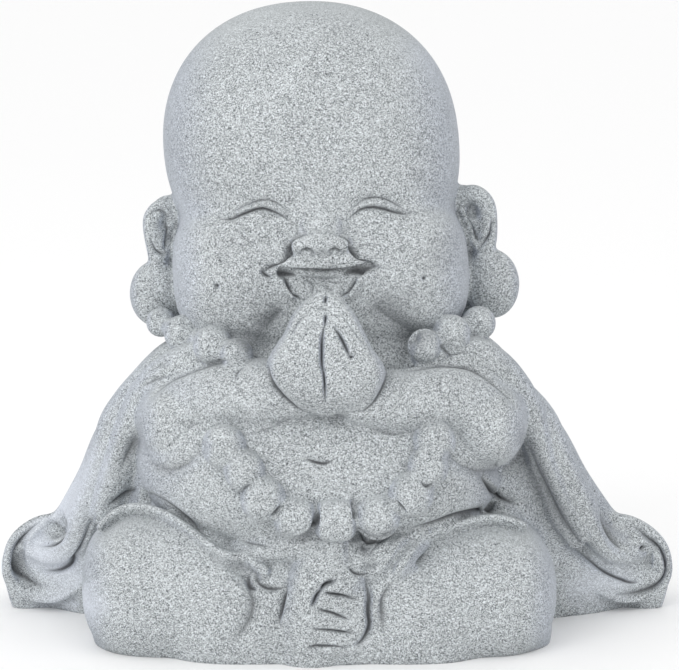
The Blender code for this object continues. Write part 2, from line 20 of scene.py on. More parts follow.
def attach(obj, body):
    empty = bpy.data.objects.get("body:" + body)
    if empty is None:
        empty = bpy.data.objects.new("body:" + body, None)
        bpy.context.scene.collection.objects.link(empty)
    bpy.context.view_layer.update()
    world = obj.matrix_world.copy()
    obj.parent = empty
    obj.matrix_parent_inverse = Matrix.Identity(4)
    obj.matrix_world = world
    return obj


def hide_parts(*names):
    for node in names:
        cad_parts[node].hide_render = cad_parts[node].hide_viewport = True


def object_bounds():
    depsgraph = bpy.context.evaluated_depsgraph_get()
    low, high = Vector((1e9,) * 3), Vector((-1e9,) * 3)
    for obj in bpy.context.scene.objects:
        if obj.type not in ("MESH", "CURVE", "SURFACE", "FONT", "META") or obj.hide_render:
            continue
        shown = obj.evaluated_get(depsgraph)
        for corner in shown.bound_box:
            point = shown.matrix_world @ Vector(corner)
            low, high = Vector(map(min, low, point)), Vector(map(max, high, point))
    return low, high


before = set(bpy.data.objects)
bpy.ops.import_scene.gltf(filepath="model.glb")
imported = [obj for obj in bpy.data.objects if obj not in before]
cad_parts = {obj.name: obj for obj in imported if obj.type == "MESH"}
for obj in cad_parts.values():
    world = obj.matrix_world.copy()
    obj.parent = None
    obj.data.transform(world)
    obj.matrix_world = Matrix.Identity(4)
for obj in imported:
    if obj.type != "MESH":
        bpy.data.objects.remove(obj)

cad_low, cad_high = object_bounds()
print("CAD box in mm", [round(1000 * (h - l), 1) for l, h in zip(cad_low, cad_high)])

# %% [markdown]
# ## Drawing units and the viewer
#
# The forms are drawn about 285 units tall, so that a unit is close to a
# millimetre, and the finished skin is scaled to the CAD box. x runs to the
# viewer's right, -y towards the viewer and z up.
#
# Small details are easier to place by where a viewer sees them than by their
# depth. So there is one viewing point, the same as the photograph's, and a
# detail's x and z are read where a line of sight crosses the plane y = 0.

# %% Where the viewer stands
VIEW_DISTANCE = 1500.0
VIEW_HEIGHT = 330.0
VIEW_TILT = 0.1336
GROUND = -4.0
EYE = Vector((0.0, -VIEW_DISTANCE, VIEW_HEIGHT))

# How fine the clay is: rough lumps, large forms, the head, the palms, small details.
ROUGH_GRAIN = 2.0
FORM_GRAIN = 1.2
HEAD_GRAIN = 1.0
PALM_GRAIN = 0.6
DETAIL_GRAIN = 0.8

# The clay that the whole figure is fused in, the finished skin's, and its triangle count.
CLAY_GRAIN = 0.8
SKIN_GRAIN = 0.5
SKIN_TRIANGLES = 190000


def behind(view_x, view_z, y):
    """The point at depth y that is seen at this place from the front."""
    scale = 1.0 + y / VIEW_DISTANCE
    return Vector((view_x * scale, y, VIEW_HEIGHT - (VIEW_HEIGHT - view_z) * scale))


# %% [markdown]
# ## Clay tools
#
# Three shapes are enough for a figure like this: a squashed ball, a tapered
# roll that follows a smooth curve, and a loft through outlines. They are added
# to a bmesh, and may pass through each other, because the next step fuses them.
# Metaballs would blend too, but their joins can't be kept tight where an arm
# lies on a belly, and sculpting by hand can't be repeated by a script.

# %% A ball and a smooth path
def add_ball(group, centre, radii, power=2.0, detail=5):
    """A squashed ball. A power over 2 makes it boxier."""
    made = bmesh.ops.create_icosphere(group, subdivisions=detail, radius=1.0)
    for vert in made["verts"]:
        x, y, z = vert.co
        size = (abs(x) ** power + abs(y) ** power + abs(z) ** power) ** (1.0 / power)
        vert.co = [c + r * v / size for c, r, v in zip(centre, radii, (x, y, z))]


def smooth_path(stations, steps):
    """Points on a smooth curve through the stations, as rows of an array."""
    points = [np.array(station, dtype=float) for station in stations]
    if len(points) == 1:
        return np.array(points)
    ends = [2 * points[0] - points[1]] + points + [2 * points[-1] - points[-2]]
    path = []
    for i in range(1, len(ends) - 2):
        a, b, c, d = ends[i - 1 : i + 3]
        for t in np.arange(steps) / steps:
            bend = (2 * a - 5 * b + 4 * c - d) * t**2 + (3 * b - a - 3 * c + d) * t**3
            path.append(b + 0.5 * ((c - a) * t + bend))
    path.append(points[-1])
    return np.array(path)


# %% A tapered roll and a loft
def add_tube(group, path, sides):
    """A closed tube along rows of x, y, z and radius."""
    across = None
    rings = []
    for i, point in enumerate(path):
        ahead = path[min(i + 1, len(path) - 1)][:3] - path[max(i - 1, 0)][:3]
        along = Vector(ahead).normalized()
        if across is None:
            across = along.orthogonal().normalized()
        across = (across - along * across.dot(along)).normalized()
        up = along.cross(across)
        turn = 2 * np.pi * np.arange(sides) / sides
        spokes = [across * float(np.cos(a)) + up * float(np.sin(a)) for a in turn]
        rings.append([group.verts.new(Vector(point[:3]) + s * point[3]) for s in spokes])
    close_rings(group, rings)


def close_rings(group, rings):
    """Faces between rings of equal length, and over both ends."""
    for low, high in zip(rings, rings[1:]):
        for k in range(len(low)):
            group.faces.new((low[k - 1], low[k], high[k], high[k - 1]))
    group.faces.new(list(reversed(rings[0])))
    group.faces.new(rings[-1])


def add_roll(group, stations, steps=6, sides=24, round_ends=True):
    """A tapered roll through stations of x, y, z and radius."""
    path = smooth_path(stations, steps)
    add_tube(group, path, sides)
    if round_ends:
        for end in (path[0], path[-1]):
            add_ball(group, end[:3], [end[3]] * 3, detail=4)


def add_loft(group, sections):
    """Joins outlines of equal length, bottom to top."""
    close_rings(group, [[group.verts.new(Vector(p)) for p in s] for s in sections])


# %% [markdown]
# Fusing is done by the Remesh modifier in voxel mode. It fills the lumps with
# tiny cubes and wraps one closed skin round them, so the result never has
# holes or inner walls. The Smooth modifier after it rounds the joins: few
# rounds keep them crisp, many make them flow.

# %% Fuse and soften
def melt(group, voxel, rounds):
    """Fuses everything in a group into one skin and softens it."""
    mesh = bpy.data.meshes.new("clay")
    group.to_mesh(mesh)
    group.free()
    clay = bpy.data.objects.new("clay", mesh)
    bpy.context.scene.collection.objects.link(clay)
    fuse = clay.modifiers.new("Fuse", "REMESH")
    fuse.mode = "VOXEL"
    fuse.voxel_size = voxel
    if rounds:
        soften = clay.modifiers.new("Soften", "SMOOTH")
        soften.factor = 0.5
        soften.iterations = rounds
    graph = bpy.context.evaluated_depsgraph_get()
    made = bpy.data.meshes.new_from_object(clay.evaluated_get(graph))
    bpy.data.objects.remove(clay)
    bpy.data.meshes.remove(mesh)
    return made


def joined(*meshes):
    """A new group that holds these meshes."""
    group = bmesh.new()
    for mesh in meshes:
        group.from_mesh(mesh)
    return group


def read(mesh, what):
    """The positions (co) or normals of a mesh's vertices, as rows."""
    flat = np.empty(len(mesh.vertices) * 3)
    mesh.vertices.foreach_get(what, flat)
    return flat.reshape(-1, 3)


def write_positions(mesh, points):
    mesh.vertices.foreach_set("co", points.ravel())
    mesh.update()


# %% [markdown]
# ## The body
#
# The trunk is one wide belly with a chest above it, drawn evenly on both
# sides: the figure's slight lean comes later, in one move. The arms are
# separate rolls with a heavy elbow, and meet in front of the chest. They and
# the rolls of cloth round them are placed where a viewer sees them, so they
# need no lean.

# %% Belly, chest and arms
def torso():
    group = bmesh.new()
    add_ball(group, (0, -31, 80), (81, 57, 44), 2.15)
    add_ball(group, (0, -20, 112), (62, 40, 30))
    add_ball(group, (0, 5, 125), (52, 45, 25))
    add_ball(group, (0, -30, 130), (52, 30, 16))
    return melt(group, ROUGH_GRAIN, 10)


# The arms as the viewer sees them: x, z, depth y and radius from elbow to wrist.
ARMS = (
    ((-70.5, 90.5, -42, 19.5), (-60, 98, -52, 17.5), (-50, 101.7, -60, 16.5),
     (-34, 103, -69, 15.5), (-18, 104.5, -78, 13)),
    ((65.5, 90, -42, 20), (57, 98, -52, 17.5), (46, 100.5, -61, 15.5),
     (29, 99.5, -70, 14), (13, 101, -78, 12.5)),
)
# The cloth that lies over the upper arm, from the collar outwards.
COLLAR = (
    ((-40, 124.5, -54, 5), (-50, 123.5, -53, 6), (-62, 120.5, -50, 7),
     (-71.5, 116, -44, 8), (-80.5, 109.5, -38, 8), (-88.5, 99.5, -30, 7.5)),
    ((38, 121, -57, 5), (52, 122.5, -52, 6.5), (63, 120.5, -46, 8),
     (72, 114.5, -40, 8.5), (79.5, 105.5, -34, 8.5), (86.5, 95.5, -28, 7.5)),
)
# The throat on both sides of the hands, between the jaw and the arms.
THROAT = (
    ((-24, 117, -54, 8), (-38, 117, -49, 8), (-54, 120, -41, 8), (-68, 127, -30, 7)),
    ((18, 114, -52, 8.5), (32, 114.5, -46, 8.5), (46, 119.5, -44, 8.5), (60, 127, -36, 8)),
)
# The robe's apron under the belly, beside the pendant.
APRON = (
    ((-45, 31, -64, 5.5), (-34, 33, -71, 6.5), (-24, 35, -75, 8), (-13, 37, -80, 8)),
    ((38, 36, -62, 4), (30, 38, -66, 5), (20, 34, -75, 7), (11, 32, -78, 7.5)),
)
# The cloak's inner side, between the arm and the cloak's hem.
LINING = (
    ((-88, 100, -34, 7), (-92, 88, -29, 8), (-96, 76, -23, 8), (-100, 64, -17, 8),
     (-105, 50, -10, 7)),
    ((87, 96, -30, 6), (89, 84, -25, 7), (92, 72, -20, 7), (97, 60, -14, 7), (101, 50, -9, 7),
     (108, 40, -3, 7)),
)


def arms():
    """Both arms, each with a deep elbow and a flat shoulder above it, in their cloth."""
    group = bmesh.new()
    for rolls in zip(ARMS, COLLAR, THROAT, LINING, APRON):
        for roll in rolls:
            add_roll(group, [(*behind(x, z, y), radius) for x, z, y, radius in roll])
    for arm in ARMS:
        x, z, y, radius = arm[0]
        add_ball(group, behind(x, z, y), (radius, 1.4 * radius, radius))
        add_ball(group, behind(0.85 * x, z + 15, y + 17), (28, 24, 14))
    return melt(group, FORM_GRAIN, 8)


# %% [markdown]
# The legs are crossed under the robe, so only two broad knees show, and a
# middle mass that the robe's apron and one foot lie on.

# %% Knees and lap
# Centre, radii and power of the balls for both knees.
KNEES = (
    ((-67.0, -37.0, 25.0), (40.0, 43.0, 34.5), 2.5),
    ((-65.0, -33.0, 8.0), (38.5, 37.0, 24.0), 2.3),
    ((64.5, -37.0, 23.5), (37.0, 43.0, 32.0), 2.5),
    ((63.5, -29.0, 8.0), (36.5, 35.0, 24.0), 2.8),
)


def legs():
    """Two knees and a middle, then the robe's folds between them, the ankle and three toes."""
    group = bmesh.new()
    for knee in KNEES:
        add_ball(group, *knee)
    for side in (-1, 1):
        add_ball(group, (side * 34, -50, 13), (37, 36, 31), 2.6)
    add_ball(group, (0, -48, 16), (46, 40, 38), 2.4)
    core = melt(group, ROUGH_GRAIN, 8)
    group = joined(core)
    add_roll(group, [(4, -78, 56, 8), (2, -80, 46, 10), (-3, -80, 34, 13),
                     (-6, -79, 18, 14), (-6, -77, 2, 14)])
    add_roll(group, [(-44, -74, 36, 5), (-36, -77, 28, 5.5), (-30, -78, 18, 6), (-27, -77, 4, 6)])
    add_roll(group, [(36, -76, 42, 4), (28, -80, 36, 4.5), (22, -81, 26, 5), (21, -80, 8, 5)])
    add_roll(group, [(11, -82, 38, 6.5), (6, -85, 33, 7)])
    for z in (26, 17.5, 9):
        add_roll(group, [(11, -84, z, 5), (2, -87.5, z + 0.5, 4.8), (-4, -86, z + 1, 4.2)])
    return melt(group, FORM_GRAIN, 3)


# %% [markdown]
# ## The cloak
#
# The cloak falls from the shoulders and spreads over the ground. It is a loft:
# each row below is half an outline at one height, from the middle of the front
# round to the middle of the back, and the other half is its mirror image.

# %% Cloak
CLOAK = (
    (-14, ((0, -20), (55, -15), (84, 6), (108, 20), (126, 34),
           (138, 48), (130, 64), (102, 80), (56, 92), (0, 96))),
    (10, ((0, -20), (55, -15), (84, -2), (106, 9), (132, 20),
          (150, 38), (140, 58), (104, 78), (56, 90), (0, 94))),
    (28, ((0, -20), (55, -16), (84, -14), (101, -1), (124, 13),
          (150, 34), (138, 55), (102, 74), (54, 86), (0, 90))),
    (42, ((0, -20), (55, -17), (84, -22), (97, -7), (113, 9),
          (130, 30), (122, 50), (94, 70), (50, 82), (0, 86))),
    (58, ((0, -20), (55, -17), (80, -29), (94, -12), (107, 5),
          (118, 26), (110, 46), (84, 66), (46, 78), (0, 82))),
    (75, ((0, -20), (55, -18), (76, -34), (90, -18), (101, -2),
          (110, 20), (102, 41), (78, 60), (42, 71), (0, 75))),
    (92, ((0, -20), (52, -18), (72, -36), (86, -22), (96, -5),
          (102, 15), (95, 36), (72, 54), (38, 65), (0, 69))),
    (108, ((0, -20), (50, -24), (64, -32), (75, -22), (84.5, -6),
           (90, 10), (83, 30), (65, 48), (34, 59), (0, 63))),
    (120, ((0, -18), (44, -18), (58, -18), (69, -14), (77, -4),
           (80, 8), (74, 25), (58, 42), (30, 53), (0, 57))),
    (130, ((0, -14), (36, -14), (46, -14), (56, -10), (63, -2),
           (65, 8), (60, 22), (46, 36), (24, 46), (0, 50))),
    (139, ((0, -8), (26, -8), (34, -8), (42, -6), (46, 0),
           (48, 8), (44, 18), (34, 28), (18, 36), (0, 40))),
)


def cloak():
    group = bmesh.new()
    sections = []
    for z, half in CLOAK:
        right = [(x, y, z) for x, y in half]
        left = [(-x, y, z) for x, y in reversed(half[1:-1])]
        sections.append(right + left)
    add_loft(group, sections)
    return melt(group, ROUGH_GRAIN, 12)


# %% [markdown]
# The cloak's front edge is a thick double hem. It runs from the collar over
# the upper arm down to the ground, and ends in a scroll, like a wave. The
# scroll is a flat-fronted block with a rim rolled round it.

# %% Hems and scrolls
def hems():
    group = bmesh.new()
    for side in (-1, 1):
        add_roll(group, [(side * 132.5, 13.5, 25, 20), (side * 132, 30, 23, 19),
                         (side * 128, 47, 21, 17), (side * 120, 63, 19, 14),
                         (side * 108, 76, 16, 11)], sides=48, round_ends=False)
        add_roll(group, [(side * 86, 22, 4, 13), (side * 115, 30, 4, 13.5),
                         (side * 133, 40, 6, 13), (side * 132, 58, 8, 12)])
        add_roll(group, [(side * 58, -12, 129, 7), (side * 69, -14, 122, 8.5),
                         (side * 77.5, -11, 111, 10), (side * 88, -4, 96, 10.5),
                         (side * 98, 2, 80, 10.5), (side * 106, 8, 64, 10),
                         (side * 116, 14, 49, 9), (side * 126, 20, 38, 7)])
        add_roll(group, [(side * 40, -18, 131, 5), (side * 56, -24, 130, 6.5),
                         (side * 70, -27, 122, 8), (side * 82.5, -24, 108, 8.5),
                         (side * 92.5, -19, 94, 9.5), (side * 98.5, -14, 80, 9),
                         (side * 104.5, -7, 64, 9), (side * 112.5, 0, 48, 9),
                         (side * 121, 7, 36, 8.5), (side * 130, 10, 30, 6.5),
                         (side * 137.5, 12, 31, 4.6), (side * 139, 13, 37, 4),
                         (side * 134.5, 14, 40.5, 3.6), (side * 131, 14, 38, 3)])
        add_roll(group, [(side * 121, 19, 39, 4.5), (side * 126, 15, 42, 4.3),
                         (side * 133, 13, 42.3, 4.3), (side * 141, 12.5, 38.5, 4.2),
                         (side * 147, 12, 32, 4.2), (side * 149.4, 12, 22, 4.2),
                         (side * 147, 16, 14, 5.2), (side * 144, 21, 6, 7),
                         (side * 139, 28, -1, 9), (side * 131, 34, -6, 10)])
    return melt(group, FORM_GRAIN, 3)


# %% [markdown]
# ## The head
#
# The skull is a large, slightly boxy ball, and the jowl a wide flat one. The
# cheeks only swell a little from it: in the real casting the face is one smooth
# plane from brow to jaw. Long earlobes hang at both sides as heavy drops.

# %% Skull, cheeks and ears
def head():
    group = bmesh.new()
    add_ball(group, (0, 0, 216), (66.8, 64, 64.5), 2.2)
    add_ball(group, (0, -13, 161), (66.0, 51, 36), 3.2)
    add_ball(group, (0, -28, 188), (50, 34, 26))
    for side in (-1, 1):
        add_ball(group, (side * 33, -36, 163), (30, 29.5, 25))
    core = melt(group, ROUGH_GRAIN, 30)
    group = joined(core)
    for side in (-1, 1):
        out = 0.6 if side > 0 else -1.4
        down = 0.0 if side > 0 else 1.4
        add_ball(group, (side * (75.7 + out), 1, 150.5), (12.8, 11, 15.5))
        add_ball(group, (side * 67, 5, 178), (11, 7, 17))
        add_roll(group, [(side * 62, -2, 188 - down, 4),
                         (side * (70 + out), -4, 191.5 - down, 4.3),
                         (side * (75.3 + out), -4, 187 - down, 4.4),
                         (side * (76 + out), -3, 179, 4.4),
                         (side * (75 + out), -2, 170, 4.4), (side * 73, -1, 162, 4.2)])
        add_roll(group, [(side * 66, -3, 184, 1.8), (side * 69, -4, 177, 2.2),
                         (side * 70, -3, 169, 2.0)])
    return melt(group, HEAD_GRAIN, 3)


# %% [markdown]
# ## Lean
#
# No cast figure is quite even. This one leans a little to the viewer's left,
# its head is rolled, and its lap is turned. Moving all points of a finished
# skin does this in one go, and every form follows. The ends of the cloak are
# swept back, and its back gets long shallow folds, in the same way.

# %% Lean, sweep and fold
LEAN = 0.055
LEAN_FROM = 30.0
HEAD_ROLL = 0.035
LAP_SHIFT = 5.0
SKULL_SHIFT = 1.5
SWEEP = 14.0
FOLDS = 9.0
FOLD_DEPTH = 2.2
SWEEP_FROM = 108.0
SWEEP_TO = 148.0


def ramp(value, start, end):
    """0 before start, 1 after end, with soft corners."""
    t = np.clip((value - start) / (end - start), 0.0, 1.0)
    return t * t * (3 - 2 * t)


def swept(mesh):
    """Sweeps the wings back at both sides, along the viewer's lines of sight."""
    points = read(mesh, "co")
    far = ramp(np.abs(points[:, 0]), SWEEP_FROM, SWEEP_TO) * ramp(points[:, 1], -20.0, 0.0)
    near = 1.0 + points[:, 1] / VIEW_DISTANCE
    points[:, 1] += SWEEP * far
    grow = (1.0 + points[:, 1] / VIEW_DISTANCE) / near
    points[:, 0] *= grow
    points[:, 2] = VIEW_HEIGHT - (VIEW_HEIGHT - points[:, 2]) * grow
    write_positions(mesh, points)
    return mesh


def folded(mesh):
    """Presses long shallow folds into the back of the cloak."""
    points = read(mesh, "co")
    turn = np.arctan2(points[:, 0], points[:, 1])
    wave = np.cos(FOLDS * turn + 0.8 * np.sin(0.03 * points[:, 2])) * np.cos(2.3 * turn)
    back = ramp(points[:, 1], 15.0, 50.0) * ramp(-points[:, 2], -128.0, -90.0)
    write_positions(mesh, points + read(mesh, "normal") * (FOLD_DEPTH * wave * back)[:, None])
    return mesh


def leaned(mesh):
    """Leans the figure, rolls its head and shifts its lap."""
    points = read(mesh, "co")
    x, y, z = points[:, 0].copy(), points[:, 1], points[:, 2].copy()
    points[:, 2] += HEAD_ROLL * x * ramp(z, 100.0, 150.0)
    points[:, 0] -= LEAN * np.maximum(z - LEAN_FROM, 0.0)
    points[:, 0] -= SKULL_SHIFT * ramp(z, 160.0, 230.0)
    lap = ramp(-y, 0.0, 30.0) * (1.0 - ramp(z, 95.0, 125.0))
    cloak_edge = ramp(np.abs(x), 80.0, 98.0) * ramp(z, 45.0, 65.0)
    points[:, 0] -= LAP_SHIFT * lap * (1.0 - cloak_edge)
    write_positions(mesh, points)
    return mesh


# %% [markdown]
# ## Pressed palms
#
# The hands are held palm to palm before the mouth. Seen from the front they
# are a broad leaf with a slit down the middle. Each palm is a loft of flattened
# rings. Its outer edge, the slit, and its depth are given at a few heights, and
# a smooth curve fills in the rest.

# %% Palms
# Height, outer edge on the left, slit, outer edge on the right, middle depth, half thickness.
PALMS = (
    (94.0, -13.0, -5.0, 7.5, -80.0, 7.0),
    (98.0, -19.0, -5.1, 13.5, -82.0, 10.5),
    (104.0, -25.5, -5.2, 18.6, -84.0, 13.0),
    (111.0, -30.5, -5.7, 21.7, -85.0, 14.0),
    (117.0, -31.5, -6.6, 20.5, -85.0, 13.5),
    (124.0, -28.0, -6.7, 15.6, -84.5, 12.0),
    (131.0, -23.2, -6.3, 12.2, -84.0, 10.5),
    (138.0, -20.3, -5.1, 8.6, -83.5, 8.5),
    (144.0, -15.5, -4.9, 4.0, -82.5, 6.5),
    (149.5, -8.5, -5.0, -1.5, -81.5, 4.0),
)
PALM_SIDES = 40
PALM_POWER = 2.9


def palm(group, side):
    rings = []
    for z, left, slit, right, depth, thick in smooth_path(PALMS, 6):
        outer = left if side < 0 else right
        centre, half = 0.5 * (outer + slit), 0.5 * abs(outer - slit) + 0.3
        ring = []
        for turn in 2 * np.pi * np.arange(PALM_SIDES) / PALM_SIDES:
            across, along = np.cos(turn), np.sin(turn)
            size = (abs(across) ** PALM_POWER + abs(along) ** PALM_POWER) ** (1 / PALM_POWER)
            ring.append(behind(centre + half * across / size, z, depth + thick * along / size))
        rings.append([group.verts.new(point) for point in ring])
    close_rings(group, rings)


def palms():
    group = bmesh.new()
    palm(group, -1)
    palm(group, 1)
    seam = [(*behind(slit, z, depth - thick + 6.2), 5.4)
            for z, left, slit, right, depth, thick in PALMS[1:-1]]
    add_roll(group, seam)
    return melt(group, PALM_GRAIN, 4)


# %% [markdown]
# ## The base figure
#
# The large forms are fused first. Everything smaller is then laid on this
# skin: a ray from the viewer's eye finds where the skin is, so a roll follows
# the belly or the cheek by itself.

# %% Fuse the large forms
body = melt(joined(torso(), legs(), cloak(), hems()), FORM_GRAIN, 1)
base = melt(joined(folded(swept(leaned(body))), arms(), leaned(head()), palms()), CLAY_GRAIN, 2)
print("base figure", len(base.polygons), "faces")


# %% Find the skin
class Skin:
    """The skin of a mesh, as the viewer's line of sight meets it."""

    def __init__(self, mesh):
        self.tree = BVHTree.FromPolygons(
            [v.co for v in mesh.vertices], [tuple(p.vertices) for p in mesh.polygons]
        )

    def at(self, x, z):
        """The point of the skin that is seen here, and its normal."""
        aim = (Vector((x, 0, z)) - EYE).normalized()
        return self.tree.ray_cast(EYE, aim)[:2]

    def depths(self, line):
        """The depth y of the skin along rows that start with x and z. Off the
        skin, where a line runs over an edge, the depth stays as it was."""
        found = [0.0]
        for row in line:
            hit = self.at(row[0], row[1])[0]
            found.append(found[-1] if hit is None else hit.y)
        return np.array(found[1:])


def lay_ball(group, skin, x, z, radii, lift, power=2.0):
    """A ball whose centre is this far out of the skin."""
    hit, normal = skin.at(x, z)
    add_ball(group, hit + normal * lift, radii, power, detail=4)


def lay_roll(group, skin, line, lift, sides=14):
    """A roll along rows of x, z and radius, laid on the skin."""
    path = smooth_path(line, 6)
    points = []
    for x, z, radius in path:
        hit, normal = skin.at(x, z)
        points.append([*(hit + normal * (lift * radius)), radius])
    points = np.array(points)
    for _ in range(3):
        points[1:-1] = 0.25 * points[:-2] + 0.5 * points[1:-1] + 0.25 * points[2:]
    add_tube(group, points, sides)
    for end in (points[0], points[-1]):
        add_ball(group, end[:3], [end[3]] * 3, detail=3)


# %% [markdown]
# ## Nose and lips
#
# These are small lumps and rolls on the base. They are fused with it and
# softened by a few rounds, so that they grow out of the face.

# %% Face
NOSE = (
    (-7.5, 171.8, (12.5, 9.0, 6.4), 0.5), (-17.0, 170.4, (5.4, 6.8, 4.8), 1.0),
    (2.4, 170.6, (5.4, 6.8, 4.8), 1.0), (-7.5, 179.0, (9.5, 6.0, 8.5), -1.5),
)
UPPER_LIP = (
    (-26.5, 161.4, 2.2), (-19.0, 162.4, 3.8), (-7.0, 162.6, 4.3), (5.0, 163.0, 3.8),
    (14.5, 163.6, 2.2),
)
LOWER_LIP = (
    ((-28.0, 157.0, 1.8), (-25.0, 152.0, 2.4), (-20.5, 147.5, 2.5)),
    ((12.0, 157.0, 1.8), (9.0, 152.0, 2.4), (5.8, 148.0, 2.5)),
)


def face(group, skin):
    for x, z, radii, lift in NOSE:
        lay_ball(group, skin, x, z, radii, lift)
    lay_roll(group, skin, UPPER_LIP, 0.05)
    for line in LOWER_LIP:
        lay_roll(group, skin, line, -0.1)


soft = joined(base)
skin = Skin(base)
face(soft, skin)
base = melt(soft, CLAY_GRAIN, 4)
print("with soft details", len(base.polygons), "faces")

# %% [markdown]
# ## Beads
#
# The prayer beads are cast with the body, so each is only a ball half sunk in
# the skin. The row on the belly is laid on by sight. The row under the jaw is
# given with its depth, and goes on round the back of the neck.

# %% Lay the beads
BELLY_BEADS = (
    (-50.3, 79.0, 9.6), (-41.3, 68.6, 8.8), (-33.0, 56.5, 9.8), (-18.4, 48.2, 9.6),
    (17.9, 48.6, 9.8), (32.8, 58.4, 9.8), (40.3, 70.2, 9.0), (43.0, 80.8, 9.4),
)
PENDANT = (-0.4, 46.9, (8.6, 9.5, 8.9), 4.0)
NECK_BEADS = (
    (-79.5, 135.4, 6.6, -19), (-70.0, 130.5, 8.0, -40), (-56.2, 125.2, 8.6, -59),
    (-45.2, 120.8, 7.2, -66),
    (64.0, 135.0, 7.6, -38), (51.8, 130.4, 8.2, -53), (39.5, 124.8, 7.4, -61),
)
BEAD_LIFT = 0.2
CORD_BEHIND = 5.0
CORD_SHARE = 0.6

# The row at the back: how many, their size, and the half oval that they lie on.
BACK_BEADS = 11
BACK_BEAD_RADIUS = 7.2
BACK_ROW = (-5.5, 8.0, 136.0)
BACK_ROW_RADII = (68.0, 44.0)
BACK_ROW_SLOPE = 0.03


def beads(skin):
    group = bmesh.new()
    for x, z, radius in BELLY_BEADS:
        lay_ball(group, skin, x, z, [radius] * 3, BEAD_LIFT * radius)
    x, z, radii, power = PENDANT
    lay_ball(group, skin, x, z, radii, 0.5, power)
    for row in (NECK_BEADS[:4], NECK_BEADS[4:]):
        add_roll(group, [(*behind(x, z, y + CORD_BEHIND), CORD_SHARE * radius)
                         for x, z, radius, y in row])
    for x, z, radius, y in NECK_BEADS:
        add_ball(group, behind(x, z, y), [radius] * 3, detail=4)
    for k in range(BACK_BEADS):
        turn = np.radians(k * 180.0 / (BACK_BEADS - 1))
        x = BACK_ROW_RADII[0] * np.cos(turn) + BACK_ROW[0]
        y = BACK_ROW_RADII[1] * np.sin(turn) + BACK_ROW[1]
        add_ball(group, (x, y, BACK_ROW[2] + BACK_ROW_SLOPE * x), [BACK_BEAD_RADIUS] * 3, detail=4)
    return melt(group, DETAIL_GRAIN, 2)


# %% [markdown]
# ## Hems over the knees
#
# The robe's edge lies over both knees as a thin roll of cloth. A tube can't
# simply follow the skin there, because the eye sees the knee below the edge
# and the belly above it. So the depth is taken from the skin a little lower
# down, on the knee, and then smoothed along the roll.

# %% Lay the hems
ROBE_HEMS = (
    ((-108.0, 42.5, 1.1), (-104.2, 46.3, 1.5), (-97.3, 51.0, 1.7), (-89.5, 52.2, 1.7),
     (-79.7, 49.9, 1.6), (-70.9, 45.0, 1.6), (-61.1, 37.6, 1.7), (-53.3, 31.8, 1.9),
     (-45.9, 29.4, 2.2), (-41.5, 29.8, 2.2), (-37.0, 26.5, 2.2), (-31.0, 22.0, 2.0)),
    ((86.0, 43.6, 1.1), (77.0, 46.4, 1.5), (70.2, 47.3, 1.6), (62.3, 46.4, 1.6), (52.5, 43.4, 1.8),
     (42.7, 39.6, 2.2), (35.9, 34.3, 2.4), (30.2, 27.5, 2.4), (26.5, 20.9, 2.0)),
    ((42.0, 42.0, 1.4), (31.7, 38.1, 2.2), (25.7, 34.4, 2.6), (21.2, 27.6, 2.5),
     (17.5, 23.1, 2.3), (12.0, 22.4, 1.8)),
)
HEM_DROPS = (0.0, 2.5, 5.0)
HEM_SMOOTHING = 12
HEM_SIDES = 14
# A second, thicker tube fills the gap behind the first: how far back, and how much thicker.
HEM_TUBES = ((0.0, 1.0), (2.5, 1.5))
HEM_SLOPE = 0.4


def robe_hems(skin):
    """Rolls of cloth on the crest of the knees, just in front of the belly."""
    group = bmesh.new()
    for line in ROBE_HEMS:
        path = smooth_path(line, 5)
        y = np.min([skin.depths(path - [0.0, drop, 0.0]) for drop in HEM_DROPS], axis=0)
        for _ in range(HEM_SMOOTHING):
            y[1:-1] = 0.25 * y[:-2] + 0.5 * y[1:-1] + 0.25 * y[2:]
        for sink, grow in HEM_TUBES:
            rows = [(*behind(x, z - HEM_SLOPE * sink, depth + sink), grow * radius)
                    for (x, z, radius), depth in zip(path, y)]
            add_tube(group, np.array(rows), HEM_SIDES)
    return melt(group, DETAIL_GRAIN, 2)


skin = Skin(base)
statue_skin = melt(joined(base, beads(skin), robe_hems(skin)), SKIN_GRAIN, 4)
print("statue skin", len(statue_skin.polygons), "faces")

# %% [markdown]
# ## The modelling tool
#
# Lines are pressed into the clay as a viewer sees them: each row below gives a
# width, a depth and the points that the tool passes. A negative depth raises a
# ridge. Only skin that faces the viewer, at the depth where the line is seen,
# moves along its own normal, so nothing behind it is touched. Narrow lines
# get painted shade, kept as an attribute of the mesh for the material. The
# same soft bands can also paint shade on some wide places and light on others.

# %% Press a line
# How far a band reaches in depth, the normal's y of skin that is still seen,
# and how much of a band is a plain slope and not a narrow groove.
REACH = 14.0
FACING = -0.05
BAND_CORE = 0.4
# Painted shade in a groove is full from this depth on, and fades out towards wide lines.
SHADED_DEPTH = 2.4
SHADED_WIDTH = 5.5
SHADED_START = 1.6


